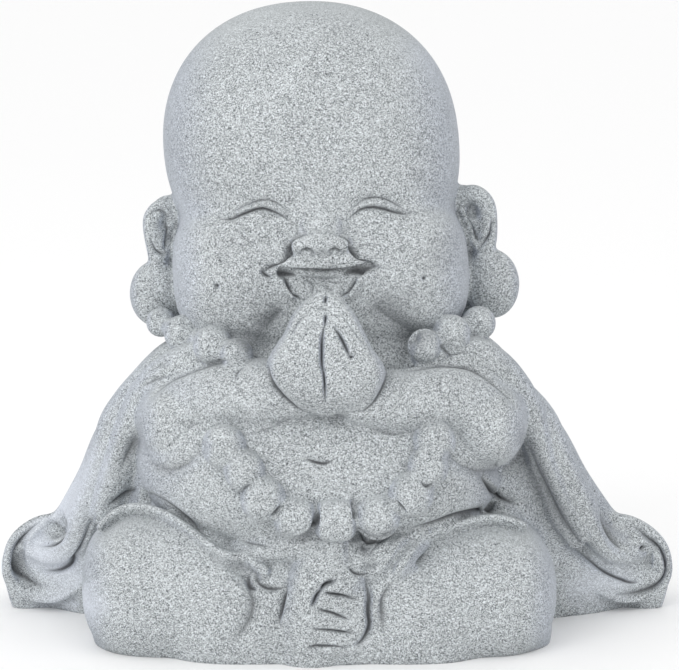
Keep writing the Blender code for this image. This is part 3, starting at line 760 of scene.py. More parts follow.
class Front:
    """The skin's points as the viewer sees them, ready to be pressed."""

    def __init__(self, mesh, skin):
        self.mesh = mesh
        self.points = read(mesh, "co")
        self.normals = read(mesh, "normal")
        scale = 1.0 + self.points[:, 1] / VIEW_DISTANCE
        self.x = self.points[:, 0] / scale
        self.z = VIEW_HEIGHT - (VIEW_HEIGHT - self.points[:, 2]) / scale
        self.y = self.points[:, 1].copy()
        self.faces_viewer = self.normals[:, 1] < FACING
        self.skin = skin
        # Painted shade for the narrow grooves.
        self.groove_shade = np.zeros(len(self.points))
        # Painted shade, and painted light where negative, for the marked bands.
        self.shade_and_light = np.zeros(len(self.points))

    def band(self, width, line):
        """The points within reach of a line, and how much each one takes of it."""
        route = smooth_path(line, 5)
        depths = self.skin.depths(route)
        low, high = route.min(axis=0) - width, route.max(axis=0) + width
        near = (self.x > low[0]) & (self.x < high[0]) & (self.z > low[1]) & (self.z < high[1])
        index = np.nonzero(near & self.faces_viewer)[0]
        spot = np.stack([self.x[index], self.z[index]], axis=1)
        best = np.full(len(index), 1e9)
        where = np.zeros(len(index))
        level = np.zeros(len(index))
        legs = max(len(route) - 1, 1)
        for k in range(legs):
            a, b = route[k], route[min(k + 1, len(route) - 1)]
            span = b - a
            t = np.clip((spot - a) @ span / max(float(span @ span), 1e-9), 0.0, 1.0)
            gap = np.linalg.norm(spot - (a + t[:, None] * span), axis=1)
            closer = gap < best
            best[closer] = gap[closer]
            where[closer] = (k + t[closer]) / legs
            level[closer] = depths[k]
        shape = np.clip(1.0 - best / width, 0.0, 1.0)
        shape *= BAND_CORE + (1.0 - BAND_CORE) * shape
        shape[np.abs(self.y[index] - level) > REACH + width] = 0.0
        if len(line) > 1:
            shape *= np.sin(np.pi * np.clip(where, 0.02, 0.98)) ** 0.5
        return index, shape

    def press(self, width, depth, line):
        """Presses a soft groove along a line of x and z."""
        index, shape = self.band(width, line)
        self.points[index] -= self.normals[index] * (depth * shape)[:, None]
        # Narrow grooves also get painted shade, fullest where they are deep.
        narrow = np.clip(SHADED_START - width / SHADED_WIDTH, 0.0, 1.0)
        amount = min(depth / SHADED_DEPTH, 1.0) * narrow
        self.groove_shade[index] = np.maximum(self.groove_shade[index], shape * amount)

    def darken_or_lighten(self, width, amount, line):
        """Paints shade along a soft band, and light where the amount is negative."""
        index, shape = self.band(width, line)
        self.shade_and_light[index] += amount * shape

    def settle(self):
        write_positions(self.mesh, self.points)
        for name, values in (("groove_shade", self.groove_shade), ("shade_and_light", self.shade_and_light)):
            layer = self.mesh.attributes.new(name, "FLOAT", "POINT")
            layer.data.foreach_set("value", values.astype(np.float32))


# %% Face lines
# Width, depth and points, from here to the bead gaps.
EYES = (
    (2.4, -1.3, ((-50, 183), (-45, 185), (-39, 187.2), (-32.8, 188.6), (-28.5, 187.3),
                 (-24.5, 184.9), (-21.5, 182.3))),
    (1.3, 1.5, ((-50.4, 183.2), (-44.6, 186.4), (-39, 189), (-32.8, 190.5), (-28, 189.3),
                (-23.8, 186.6), (-20.6, 182.4))),
    (1.5, 2.4, ((-54.6, 182.7), (-48.7, 182.2), (-42.5, 184.4), (-35.2, 186.6), (-30.8, 185.9),
                (-25.9, 183.9), (-20.2, 180.4))),
    (2.4, -1.3, ((4, 181.5), (7, 184.7), (11.4, 188), (16.2, 189.2), (21.1, 188.8), (26, 187.1),
                 (30.4, 185.8), (33.5, 185.3))),
    (1.3, 1.6, ((3.2, 180.9), (6.6, 185.8), (11.4, 190), (16.2, 191.5), (21.1, 191.2),
                (25.9, 189.2), (30.1, 186.8), (35.2, 185.1))),
    (1.5, 2.2, ((2.9, 180.5), (7.3, 183.8), (11.4, 186.5), (16.2, 187.3), (21.1, 186.7),
                (26.6, 185.3), (30.8, 184.7), (35.2, 185.1))),
)
NOSE_LINES = (
    (1.9, 3.0, ((-13.0, 176.0), (-16.2, 175.6), (-20.4, 173.4), (-22.6, 169.9), (-22.0, 166.8),
                (-20.0, 165.6))),
    (1.8, 2.8, ((0.0, 175.6), (3.5, 174.6), (6.6, 172.6), (7.0, 169.9), (5.4, 166.6))),
    (1.5, 2.8, ((-16.4, 166.4), (-13.5, 167.9), (-10.2, 165.6))),
    (1.5, 2.8, ((-3.6, 166.4), (-1, 167.9), (1.9, 166.4))),
)
MOUTH = (
    (7.0, 3.5, ((-17.0, 153.0), (-7.0, 153.5), (3.0, 153.0))),
    (2.0, 3.4, ((-21.4, 168.8), (-23.2, 165.4), (-25.9, 163), (-29.4, 160.9), (-33.5, 157.9))),
    (2.0, 3.6, ((6.0, 171.6), (7.9, 167.2), (10.7, 164.4), (14.2, 162.3), (18.5, 159.9))),
    (1.6, 2.6, ((-34.2, 159.2), (-32.4, 156.9), (-30.2, 155.4))),
    (1.5, 2.3, ((-28.9, 159.9), (-20.4, 158.8), (-13.5, 158.4), (-5.2, 157.9), (3.1, 158.6),
                (10.7, 160.2), (16.9, 161.8))),
    (1.0, -0.8, ((-17.6, 157.6), (-12.1, 156.9), (-6.6, 156.5), (-1, 156.7), (4.5, 157.4))),
    (1.2, 1.2, ((-19.6, 156.2), (-12.1, 155.3), (-6.6, 154.9), (-1, 155.1), (6.5, 156.2))),
    (2.6, 3.6, ((-27.2, 158.4), (-23.5, 156.9), (-18, 156.3))),
    (2.8, 4.0, ((1.1, 156.9), (8.6, 158), (12.8, 159), (18.2, 160.6))),
    (1.5, 2.8, ((-24.2, 157.2), (-21.9, 152.9), (-18.9, 148.0), (-15.5, 144.7))),
    (1.5, 2.4, ((8.9, 156.4), (5.7, 151.2), (1.4, 146.2))),
    (1.3, 1.6, ((-13.5, 154), (-10.9, 151.3), (-11.4, 146.5))),
)
JAW = (
    (13.0, 4.5, ((16.0, 143.0), (22.0, 137.5), (30.0, 131.0), (38.0, 127.0))),
    (11.0, 5.0, ((-25.0, 141.0), (-29.0, 135.0), (-33.0, 129.0))),
)
PITS = (
    (2.0, 3.0, ((-54.7, 151.6),)), (1.8, 2.6, ((39.7, 155.1),)), (1.2, 1.6, ((-52.6, 163.0),)),
)
EARS = (
    (1.8, 1.8, ((-83.5, 184.7), (-81, 186), (-78.5, 185.2), (-76.5, 182))),
    (3.0, 3.0, ((-78.1, 180.8), (-76.3, 176), (-76.7, 171.5), (-77, 168.0))),
    (1.6, 2.0, ((-85.0, 174.5), (-83, 169), (-79.6, 166.4), (-77.0, 165.8))),
    (3.2, 4.0, ((59.5, 187.0), (60.5, 180), (62.0, 176), (63.6, 171))),
    (1.7, 2.2, ((70.4, 183.8), (69.6, 176.6), (67.5, 173), (64.6, 169.5))),
)

# %% Hand lines
HANDS = (
    (1.3, 3.0, ((-4.9, 147.9), (-5.1, 146.4), (-5.4, 143.9))),
    (1.0, 1.4, ((-7.2, 143.2), (-5.4, 141.2), (-4.2, 142.0))),
    (1.3, 3.0, ((-5.0, 139.0), (-5.1, 137.2), (-5.4, 133.8))),
    (1.1, 2.0, ((-5.6, 133.8), (-6.2, 131.0), (-6.6, 128.0))),
    (1.8, 5.0, ((-6.5, 130.5), (-6.8, 126.5), (-6.9, 121), (-6.9, 116), (-6.2, 112.5))),
    (1.5, 3.6, ((-6.2, 115), (-5.8, 111), (-5.5, 105), (-5.3, 99.0))),
    (1.7, 3.2, ((-2.4, 134.3), (1.6, 128.8), (4.2, 123.8), (6.2, 119.6))),
    (1.6, 3.0, ((6.2, 120.8), (6.9, 119.4))),
    (1.0, 1.2, ((2.6, 138.2), (6.4, 133.2), (10.4, 128.4), (13.4, 124.6))),
    (1.1, 1.4, ((-13.0, 139.8), (-17.4, 135.9), (-19.6, 132.3), (-21.4, 129.4))),
    (1.0, 0.9, ((-10, 134.4), (-14.2, 130.6), (-17.4, 126.9))),
    (1.4, 1.6, ((-17.6, 124.6),)),
    (1.4, 1.4, ((-6.6, 151.4), (-3.1, 149.6), (1.8, 146.6))),
    (1.7, 2.2, ((-31.5, 117.6), (-31.5, 113.0), (-29.4, 107.4), (-24.4, 101.4), (-18.0, 96.2),
                (-13.4, 93.8))),
    (1.7, 1.9, ((21.4, 116.0), (22.9, 111.2), (20.9, 105.0), (16.6, 98.6), (12.2, 95.2),
                (7.4, 94.6))),
)

# %% Robe lines
ROBE = (
    (2.0, 1.8, ((-86.6, 59.0), (-77.8, 54.0), (-70.9, 48.8), (-64, 43.0), (-57.2, 37.0))),
    (3.0, 2.0, ((-104.2, 51.5), (-97.3, 56.0), (-90.5, 61.0))),
    (2.6, 2.4, ((72.1, 54.6), (68.2, 50.9), (60.4, 49.3), (52.5, 47.3), (42.7, 43.9), (33, 41.9))),
    (2.6, 3.5, ((66.4, 66.0), (69.1, 61.5), (72.7, 56.2), (76.3, 55.2), (81.7, 52.9))),
    (5.5, 2.5, ((-91.0, 84.0), (-94.0, 76.0), (-98.0, 68.0))),
    (6.0, 4.0, ((85.0, 80.0), (90.0, 68.0), (96.0, 56.0), (102.5, 44.5), (110.5, 33.0),
                (119.0, 25.1))),
    (1.8, 2.4, ((109.0, 32.5), (120.6, 23.1), (131.8, 18.1), (136.8, 18.1))),
    (1.8, 1.4, ((-35.7, 119.7), (-48.3, 118.4), (-59.6, 115.7), (-68.2, 112.5), (-74.9, 109.4),
                (-80.8, 104.8), (-85.8, 99.4))),
    (1.4, 1.2, ((-86.3, 112.4), (-80.8, 115.7), (-75.3, 117.4))),
    (1.5, 1.4, ((-88.6, 106.0), (-83.1, 108.9), (-76.2, 111.0))),
    (1.7, 1.8, ((28.9, 113.4), (37.5, 114.8), (46.5, 116.4), (57.8, 115.4), (65.9, 112.1),
                (70.9, 108.0), (76.3, 103.0), (81.0, 97.0))),
    (1.3, 1.4, ((46.0, 116.2), (51.0, 119.7), (54.6, 120.8), (62.9, 122.2))),
    (1.3, 1.4, ((61.8, 113.9), (67.3, 110.6), (71.5, 107.2))),
    (1.8, 1.8, ((46.9, 125.0), (49.7, 122.0), (52.0, 119.4))),
    (1.6, 1.6, ((-42.5, 115.6), (-45.1, 113.4), (-46.7, 108.9))),
    (6.0, 2.4, ((-88.7, 80.4), (-83.9, 71.6), (-78.1, 68.8), (-72.7, 69.4), (-68.2, 71.8),
                (-61.9, 77.8), (-56.0, 82.4))),
    (2.0, 1.0, ((-44.0, 84.5), (-33.9, 86.8), (-23.5, 90.2), (-13.1, 94.0))),
    (6.0, 2.6, ((85.1, 77.0), (76.6, 69.4), (68.2, 67.8), (61.2, 69.3), (54.4, 72.9),
                (49.5, 79.0))),
    (2.0, 1.2, ((31.6, 85.4), (26.6, 84.8), (20.8, 85.7), (14.4, 87.1))),
)
SCROLLS = (
    (7.0, 7.0, ((-130.5, 47.5), (-128.0, 44.0), (-128.2, 41.0), (-130.6, 38.6))),
    (1.9, 3.0, ((-124.9, 49.6), (-124.4, 46.1), (-124.7, 41.6), (-126.4, 36.6), (-129.6, 34.5),
                (-136.0, 35.0))),
    (4.4, 5.5, ((-134.5, 46.5), (-140.2, 42.5), (-143.9, 36.5), (-144.8, 29.9), (-143.2, 23.0),
                (-139.0, 18.0), (-132.6, 15.5))),
    (2.2, -1.6, ((-133.0, 43.6), (-137.6, 39.2), (-139.6, 32.2), (-138.5, 25.4), (-134.0, 20.6))),
    (1.8, 2.8, ((-110.0, 48.0), (-114.2, 36.8), (-116.9, 31.2), (-120.6, 26.3), (-124.2, 24.0),
                (-128.2, 23.1), (-134.0, 23.3))),
    (5.0, 4.0, ((119.9, 51.5), (122.9, 44.0), (126.4, 37.0), (130.6, 32.0))),
    (2.7, 5.0, ((139.0, 33.2),)),
    (4.0, 4.4, ((133.0, 43.6), (138.2, 40.1), (143.2, 35.6), (146.6, 31.2), (148.6, 25.4),
                (147.2, 19.5), (142.0, 15.0), (132.6, 12.7), (124.0, 12.4))),
    (2.0, -1.2, ((134.8, 39.0), (140.8, 35.4), (143.4, 30.3), (143.2, 25.4), (140.3, 20.4))),
)
LAP = (
    (1.8, 2.4, ((-14.4, 73.9), (-10.2, 72.4), (-5.7, 71.6), (-1.3, 73.2))),
    (5.5, 3.2, ((-45.0, 25.0), (-40.0, 18.0), (-38.0, 9.0), (-39.5, 1.5), (-43.5, -5.0),
                (-51.0, -11.3))),
    (5.0, 2.4, ((27.5, 20.0), (21.5, 12.0), (20.5, 4.0), (21.0, -5.0))),
    (2.4, 2.4, ((-40.1, 23.1), (-39.4, 17.9), (-36.0, 15.0))),
    (2.4, 2.2, ((-38.6, 23.1), (-34.2, 17.2), (-28.9, 15.2), (-22.2, 16.2))),
    (1.7, 3.0, ((-23.3, 15.9), (-24.8, 8.9), (-26.7, -1.6))),
    (6.5, 4.0, ((11.0, 37.0), (13.5, 32.0))),
    (1.8, 1.6, ((30.0, 43.2), (22.0, 38.6), (17.0, 33.0), (15.0, 28.5))),
    (1.4, 1.6, ((-43.1, 36.5), (-37.2, 35.4), (-28.4, 33.0))),
    (1.7, 2.4, ((5.4, 25.6), (8.3, 22.6), (14.0, 20.9))),
    (2.4, 3.6, ((13.5, 20.0), (14.3, 12), (14.3, 4), (14.9, -2), (12, -8.5), (8, -11))),
    (2.0, 4.5, ((-11.5, 6.4), (-9.4, 11.4), (-6.3, 15.0))),
    (1.8, 5.0, ((-7.0, 14.4), (-5.0, 16.9), (-0.4, 18.9))),
    (1.6, 3.6, ((-6.0, 13.4), (0.3, 11.9), (9.5, 10.4))),
    (1.5, 2.4, ((-9.2, 5.9), (-2, 3.7), (6.5, 1.0))),
    (1.5, 2.4, ((-11.5, -3.2), (-0.5, -4.4), (8, -5.5))),
    (1.5, 2.2, ((-12.9, -12.8), (-10.2, -11.1), (-2, -11.1), (6.5, -12))),
    (1.2, 1.0, ((-12.4, 23.9), (-13.9, 20.1))),
)
BEAD_GAPS = (
    (1.8, 4.0, ((-9.5, 52.0), (-9.3, 46.5), (-10.8, 41.5), (-15.0, 38.0), (-20.0, 37.5))),
    (1.6, 3.5, ((7.0, 55.0), (8.3, 50.5), (8.6, 46.0))),
    (1.8, 2.2, ((9.0, 42.5), (12.0, 38.6), (17.0, 36.6), (23.0, 38.2))),
    (1.6, 2.5, ((26.0, 55.0), (28.5, 52.0), (31.0, 49.0))),
    (1.5, 2.5, ((-24.5, 53.0), (-27.5, 49.0), (-30.0, 47.0))),
    (1.4, 1.5, ((-38.0, 62.5), (-42.0, 60.0), (-45.0, 56.5))),
    (1.5, 2.0, ((38.0, 64.0), (41.0, 61.5), (44.0, 62.0))),
)

# %% Painted shade and painted light
# Width, amount and points. A positive amount paints shade and a negative amount paints light.
PAINTED_SHADE_AND_LIGHT = (
    (17.0, 0.9, ((12, 147), (22, 140), (34, 131), (48, 127))),
    (14.0, 0.8, ((-24, 145), (-30, 137), (-38, 128), (-46, 122))),
    (11.0, 1.3, ((83, 88), (86, 76), (92, 62), (101, 47), (112, 34))),
    (8.0, 0.7, ((-88, 94), (-92, 80), (-98, 64))),
    (6.0, 0.6, ((-50, 131), (-43, 127), (-36, 123))),
    (28.0, -0.9, ((-112, 10), (-122, 24), (-136, 34), (-120, 60), (-104, 84))),
    (24.0, -0.7, ((98, 10), (120, 18), (140, 18))),
    (32.0, 0.5, ((40, 172), (52, 158))),
    (8.0, 0.9, ((-130, 47), (-128, 42), (-131, 37))),
    (14.0, -0.6, ((-100, 6), (-120, 8), (-140, 8))),
    (7.0, 0.5, ((-138, 45), (-143, 36), (-144, 27), (-140, 19), (-132, 15.5))),
    (7.0, 0.6, ((122, 48), (127, 39), (132, 32))),
    (5.5, 0.7, ((138, 40), (147, 32), (149.5, 25), (147, 18), (138, 13))),
    (8.0, 1.0, ((6, 39), (12, 34), (16, 28))),
    (7.0, 0.5, ((-28, 42), (-14, 37), (-4, 35))),
    (6.0, 0.8, ((10, 41), (22, 38), (32, 41))),
    (7.0, 0.8, ((64, 66), (71, 58), (82, 52))),
    (11.0, 0.4, ((-88, 80), (-78, 67), (-64, 71))),
    (11.0, 0.4, ((86, 77), (74, 66), (58, 69))),
    (8.0, 0.35, ((-32, 87), (-10, 92), (12, 88))),
    (7.0, 0.5, ((-52, 30), (-42, 24), (-38, 8))),
    (5.0, 0.5, ((14, 20), (15, 4), (12, -9))),
)

# %% Press them all
front = Front(statue_skin, skin)
for lines in (JAW, EYES, NOSE_LINES, MOUTH, PITS, EARS, HANDS, ROBE, SCROLLS, LAP, BEAD_GAPS):
    for width, depth, line in lines:
        front.press(width, depth, line)
# Painted shade and painted light along the marked bands.
for width, amount, line in PAINTED_SHADE_AND_LIGHT:
    front.darken_or_lighten(width, amount, line)
front.settle()
print("lines pressed into", len(front.points), "points")

# %% [markdown]
# ## Into the frame
#
# The forms were drawn for a level eye, but the viewer looks down a little.
# `upright` corrects that, as shift lenses do in a camera. The Decimate modifier
# then keeps small faces only where the shape bends, the bottom is cut off flat,
# and the skin is scaled to the CAD solid's height.

# %% Upright, thin out, cut flat
def upright(points):
    """Turns the figure as drawn from a level eye into one seen looking down."""
    slope = (VIEW_HEIGHT - points[:, 2]) / (VIEW_DISTANCE + points[:, 1])
    steep = slope / (1.0 - VIEW_TILT * (slope - VIEW_TILT))
    points[:, 2] = VIEW_HEIGHT - steep * (VIEW_DISTANCE + points[:, 1])
    points[:, 0] *= (1.0 + steep * VIEW_TILT) / np.sqrt(1.0 + VIEW_TILT**2)
    return points


def thinned(mesh, triangles):
    shell = bpy.data.objects.new("shell", mesh)
    bpy.context.scene.collection.objects.link(shell)
    fewer = shell.modifiers.new("Fewer faces", "DECIMATE")
    fewer.ratio = triangles / (2.0 * len(mesh.polygons))
    graph = bpy.context.evaluated_depsgraph_get()
    made = bpy.data.meshes.new_from_object(shell.evaluated_get(graph))
    bpy.data.objects.remove(shell)
    return made


def flat_bottom(mesh):
    """Cuts the figure off at the ground and closes the cut."""
    group = joined(mesh)
    everything = group.verts[:] + group.edges[:] + group.faces[:]
    ground = (0, 0, GROUND)
    bmesh.ops.bisect_plane(group, geom=everything, dist=1e-5, plane_co=ground,
                           plane_no=(0, 0, 1), clear_inner=True)
    rim = [edge for edge in group.edges if edge.is_boundary]
    bmesh.ops.edgeloop_fill(group, edges=rim)
    bmesh.ops.triangulate(group, faces=[f for f in group.faces if len(f.verts) > 3])
    bmesh.ops.recalc_face_normals(group, faces=group.faces[:])
    made = bpy.data.meshes.new("monk_statue_carving")
    group.to_mesh(made)
    group.free()
    return made


write_positions(statue_skin, upright(read(statue_skin, "co")))
carved = flat_bottom(thinned(statue_skin, SKIN_TRIANGLES))
print("carving", len(carved.polygons), "triangles")

# %% Scale it into the CAD box
places = read(carved, "co")
drawn_low, drawn_high = places.min(axis=0), places.max(axis=0)
MIDDLE = 0.5 * (drawn_low + drawn_high)
UNIT = (cad_high.z - cad_low.z) / (drawn_high[2] - drawn_low[2])


def placed(point):
    """A drawn point in metres in the frame of the CAD solid."""
    x, y, z = point
    return Vector(((x - MIDDLE[0]) * UNIT, (y - MIDDLE[1]) * UNIT, (z - GROUND) * UNIT))


write_positions(carved, (places - [MIDDLE[0], MIDDLE[1], GROUND]) * UNIT)
carved.shade_smooth()
statue = bpy.data.objects.new("monk_statue_carving", carved)
bpy.context.scene.collection.objects.link(statue)
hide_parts("monk_statue")
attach(statue, "root")
print("drawn unit in mm", round(1000 * UNIT, 4), "middle", MIDDLE.round(2))

# %% [markdown]
# ## Where painted shade gathers
#
# Hollows get painted shade: their colour is made darker. A copy of the skin is
# smoothed strongly: where the copy floats above the skin there is a hollow, and
# where it lies below there is an edge. The difference is kept on the mesh as an
# attribute, which the material reads.

# %% Measure the hollows
def hollows(mesh, rounds):
    """How far a smoothed copy floats above the skin, in metres."""
    clay = bpy.data.objects.new("clay", mesh)
    bpy.context.scene.collection.objects.link(clay)
    soften = clay.modifiers.new("Soften", "SMOOTH")
    soften.factor = 0.5
    soften.iterations = rounds
    graph = bpy.context.evaluated_depsgraph_get()
    smooth = bpy.data.meshes.new_from_object(clay.evaluated_get(graph))
    moved = read(smooth, "co") - read(mesh, "co")
    bpy.data.objects.remove(clay)
    bpy.data.meshes.remove(smooth)
    return np.einsum("ij,ij->i", moved, read(mesh, "normal"))


HOLLOW_ROUNDS = 12
HOLLOW_DEPTH = 0.0003
depth = hollows(carved, HOLLOW_ROUNDS) / HOLLOW_DEPTH
# The hollow attribute drives painted shade in the material.
layer = carved.attributes.new("hollow", "FLOAT", "POINT")
layer.data.foreach_set("value", np.clip(depth, -1.0, 1.0).astype(np.float32))
print("share of points in hollows", round(float((depth > 0.3).mean()), 3))

# %% [markdown]
# ## Shader sums
#
# Node graphs for stone are mostly sums of masks. The class below wraps a
# socket, so that a sum can be written as in Python and adds its Math nodes by
# itself. Everything else is added by one method that takes the node's type, its
# settings and what its sockets hold.

# %% A socket that can be used in sums
class Wire:
    """A value that comes out of a node."""

    def __init__(self, finish, socket):
        self.finish = finish
        self.socket = socket

    def _sum(self, operation, first, second):
        node = self.finish.add("ShaderNodeMath", {"operation": operation}, {0: first, 1: second})
        return node["Value"]

    def __add__(self, other):
        return self._sum("ADD", self, other)

    def __radd__(self, other):
        return self._sum("ADD", other, self)

    def __sub__(self, other):
        return self._sum("SUBTRACT", self, other)

    def __rsub__(self, other):
        return self._sum("SUBTRACT", other, self)

    def __mul__(self, other):
        return self._sum("MULTIPLY", self, other)

    def __rmul__(self, other):
        return self._sum("MULTIPLY", other, self)

    def __lt__(self, other):
        return self._sum("LESS_THAN", self, other)


# %% One method that adds any node
class Finish:
    """A material under construction."""

    def __init__(self, name):
        self.material = bpy.data.materials.new(name)
        self.material.use_nodes = True
        self.tree = self.material.node_tree
        self.surface = self.tree.nodes["Principled BSDF"]

    def add(self, kind, settings=None, sockets=None):
        """Adds a node and returns its outputs by name, as wires."""
        node = self.tree.nodes.new(kind)
        for name, value in (settings or {}).items():
            setattr(node, name, value)
        for name, value in (sockets or {}).items():
            self.feed(node.inputs[name], value)
        return {out.name: Wire(self, out) for out in node.outputs if out.enabled}

    def feed(self, socket, value):
        if isinstance(value, Wire):
            self.tree.links.new(value.socket, socket)
        else:
            socket.default_value = value

    def between(self, value, low, high):
        """0 below low and 1 above high, with soft corners."""
        soft = {"interpolation_type": "SMOOTHSTEP"}
        limits = {"Value": value, "From Min": low, "From Max": high}
        return self.add("ShaderNodeMapRange", soft, limits)["Result"]

    def mix(self, factor, first, second, blend="MIX"):
        """A colour between two colours."""
        settings = {"data_type": "RGBA", "blend_type": blend}
        return self.add("ShaderNodeMix", settings, {0: factor, 6: first, 7: second})["Result"]


# %% [markdown]
# ## Cast stone
#
# Up close the stone is a mosaic of sand grains, a third to half a millimetre
# across, each lighter or darker than its neighbour. Voronoi texture
# gives each grain its own random value. Two sizes are mixed, and noise of
# longer wavelengths adds cloudy patches. Small black pinholes are where air
# bubbles broke in the mould.

# %% Grain
stone = Finish("cast_stone")
place = stone.add("ShaderNodeTexCoord")["Object"]


def grain(scale, seed):
    """A random value from 0 to 1 for each grain of sand."""
    moved = stone.add("ShaderNodeVectorMath", {"operation": "ADD"}, {0: place, 1: (seed, 0.0, 0.0)})
    cells = stone.add("ShaderNodeTexVoronoi", {}, {"Vector": moved["Vector"], "Scale": scale})
    return stone.add("ShaderNodeSeparateColor", {}, {"Color": cells["Color"]})["Red"]


def cloud(scale, detail=3.0, roughness=0.5):
    """Smooth noise, about 0.5 on average."""
    sockets = {"Vector": place, "Scale": scale, "Detail": detail, "Roughness": roughness}
    return stone.add("ShaderNodeTexNoise", {}, sockets)["Fac"]


FINE_SCALE = 3300.0
COARSE_SCALE = 2200.0
FINE_SHARE = 0.65
PATCH_SCALE = 22.0
fine_grain = grain(FINE_SCALE, 0.0)
coarse_grain = grain(COARSE_SCALE, 3.0)
speckle = FINE_SHARE * fine_grain + (1.0 - FINE_SHARE) * coarse_grain
patches = cloud(PATCH_SCALE)

# %% Pinholes
def pinholes(scale, radius, share):
    """1 inside small round holes, one in some of the cells."""
    cells = stone.add("ShaderNodeTexVoronoi", {}, {"Vector": place, "Scale": scale})
    chance = stone.add("ShaderNodeSeparateColor", {}, {"Color": cells["Color"]})["Green"]
    return (cells["Distance"] < radius) * (chance < share)


SMALL_HOLES = {"scale": 260.0, "radius": 0.10, "share": 0.15}
LARGE_HOLES = {"scale": 75.0, "radius": 0.035, "share": 0.2}
holes = pinholes(**SMALL_HOLES)
pits = pinholes(**LARGE_HOLES)

# %% [markdown]
# The tone of each grain goes into the base colour. Slopes turned to the side get
# a faint lilac tint, picked by the normal's x: painted light from the sides.
# The grain shows strongest on skin that faces the front. Hollows get painted
# shade, the marked bands get painted shade where positive and painted light
# where negative, and painted shade lies over all of it in the narrow lines.

# %% Colour
DARK_GRAIN = (0.105, 0.115, 0.122, 1.0)
LIGHT_GRAIN = (0.73, 0.77, 0.79, 1.0)
PAINTED_SHADE_TONE = (0.16, 0.17, 0.18, 1.0)
GROOVE_SHADE_TONE = (0.06, 0.062, 0.066, 1.0)
PAINTED_LIGHT_TONE = (0.74, 0.78, 0.86, 1.0)
LILAC = (0.86, 0.88, 1.0, 1.0)
HOLE_TONE = (0.05, 0.055, 0.06, 1.0)
SIDE_CONTRAST = 0.7
FRONT_CONTRAST = 0.9
PATCH_SHARE = 0.3
SIDE_LIGHT_SHARE = 0.5
HOLLOW_SHADE_SHARE = 0.4
SHADE_AND_LIGHT_SHARE = 0.6
GROOVE_SHADE_SHARE = 0.85

hollow = stone.add("ShaderNodeAttribute", {"attribute_name": "hollow"})["Fac"]
facing = stone.add("ShaderNodeSeparateXYZ", {}, {0: stone.add("ShaderNodeNewGeometry")["Normal"]})
forward = stone.between(0.0 - facing["Y"], 0.1, 0.8)
contrast = SIDE_CONTRAST + FRONT_CONTRAST * forward
tone = 0.5 + (speckle - 0.5) * contrast + PATCH_SHARE * (patches - 0.5)
colour = stone.mix(tone, DARK_GRAIN, LIGHT_GRAIN)
# Painted light: a lilac tint on slopes turned to the side.
side_light_mask = stone.between(facing["X"] * facing["X"] + 0.3 * patches, 0.35, 0.95)
colour = stone.mix(SIDE_LIGHT_SHARE * side_light_mask, colour, stone.mix(1.0, colour, LILAC, "MULTIPLY"))
# Painted shade: hollows are made darker.
colour = stone.mix(HOLLOW_SHADE_SHARE * stone.between(hollow, 0.2, 1.2), colour, PAINTED_SHADE_TONE)
# Painted shade where a marked band is positive, painted light where it is negative.
shade_and_light = stone.add("ShaderNodeAttribute", {"attribute_name": "shade_and_light"})["Fac"]
colour = stone.mix(SHADE_AND_LIGHT_SHARE * stone.between(shade_and_light, 0.0, 1.0), colour, PAINTED_SHADE_TONE)
colour = stone.mix(SHADE_AND_LIGHT_SHARE * stone.between(0.0 - shade_and_light, 0.0, 1.0), colour, PAINTED_LIGHT_TONE)
# Painted shade: narrow grooves are made nearly black.
groove_shade = stone.add("ShaderNodeAttribute", {"attribute_name": "groove_shade"})["Fac"]
narrow_line_shade = stone.between(groove_shade + 0.25 * speckle, 0.35, 1.0)
colour = stone.mix(GROOVE_SHADE_SHARE * narrow_line_shade, colour, GROOVE_SHADE_TONE)
colour = stone.mix(holes + pits, colour, HOLE_TONE)
stone.feed(stone.surface.inputs["Base Color"], colour)

# %% Roughness and bump
BUMP_HEIGHT = 0.00012
SAND_SCALE = 900.0
height = 0.6 * speckle + 0.4 * cloud(SAND_SCALE) - 1.5 * (holes + pits)
bump = stone.add("ShaderNodeBump", {}, {"Strength": 0.5, "Distance": BUMP_HEIGHT, "Height": height})
stone.feed(stone.surface.inputs["Normal"], bump["Normal"])
stone.feed(stone.surface.inputs["Roughness"], 0.92 - 0.12 * speckle)
stone.surface.inputs["Specular IOR Level"].default_value = 0.3
carved.materials.append(stone.material)
print("stone has", len(stone.tree.nodes), "nodes")

# %% [markdown]
# ## Studio
#
# A wide white floor under a white sky gives the flat light of a catalogue
# picture, where only hollows are dark. The camera looks down, so the floor
# fills the picture behind the figure and no backdrop is needed. One large soft
# lamp from the front, a little to the left, gives the forms some direction.

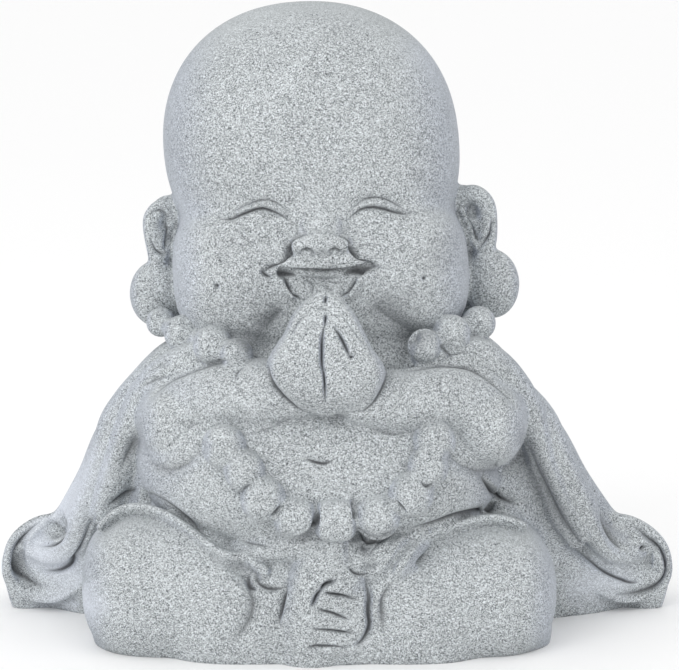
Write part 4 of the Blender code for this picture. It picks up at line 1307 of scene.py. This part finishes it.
# %% Floor
FLOOR_RADIUS = 30.0


def white_floor():
    group = bmesh.new()
    bmesh.ops.create_circle(group, cap_ends=True, segments=64, radius=FLOOR_RADIUS)
    mesh = bpy.data.meshes.new("floor")
    group.to_mesh(mesh)
    group.free()
    paper = Finish("white_paper")
    paper.surface.inputs["Base Color"].default_value = (0.97, 0.97, 0.97, 1.0)
    paper.surface.inputs["Roughness"].default_value = 0.9
    mesh.materials.append(paper.material)
    floor = bpy.data.objects.new("floor", mesh)
    bpy.context.scene.collection.objects.link(floor)
    return floor


white_floor()

# %% Light
world = bpy.data.worlds.new("studio")
bpy.context.scene.world = world
world.use_nodes = True
world.node_tree.nodes["Background"].inputs["Color"].default_value = (1.0, 1.0, 1.0, 1.0)
world.node_tree.nodes["Background"].inputs["Strength"].default_value = 1.0
bpy.context.scene.view_settings.view_transform = "Standard"


def softbox(name, place, aim, size, power):
    lamp = bpy.data.lights.new(name, "AREA")
    lamp.shape = "SQUARE"
    lamp.size = size
    lamp.energy = power
    stand = bpy.data.objects.new(name, lamp)
    stand.location = place
    stand.rotation_euler = (Vector(aim) - Vector(place)).to_track_quat("-Z", "Y").to_euler()
    bpy.context.scene.collection.objects.link(stand)


KEY = {"place": (-0.9, -1.8, 1.25), "aim": (0.0, 0.0, 0.12), "size": 1.2, "power": 13.0}
softbox("key", **KEY)

# %% [markdown]
# ## Camera
#
# A long lens from a step away, a little above the figure and looking down by
# the same slope that `upright` was given.

# %% Camera
LENS = 176.1
LOOK_AT = (1.13, -20.0, 132.3)

camera = bpy.data.cameras.new("camera")
camera.lens = LENS
camera.sensor_width = 36.0
viewer = bpy.data.objects.new("camera", camera)
viewer.location = placed((LOOK_AT[0], -VIEW_DISTANCE, VIEW_HEIGHT))
direction = placed(LOOK_AT) - viewer.location
viewer.rotation_euler = direction.to_track_quat("-Z", "Y").to_euler()
bpy.context.scene.collection.objects.link(viewer)
bpy.context.scene.camera = viewer
print("camera at", [round(v, 4) for v in viewer.location])
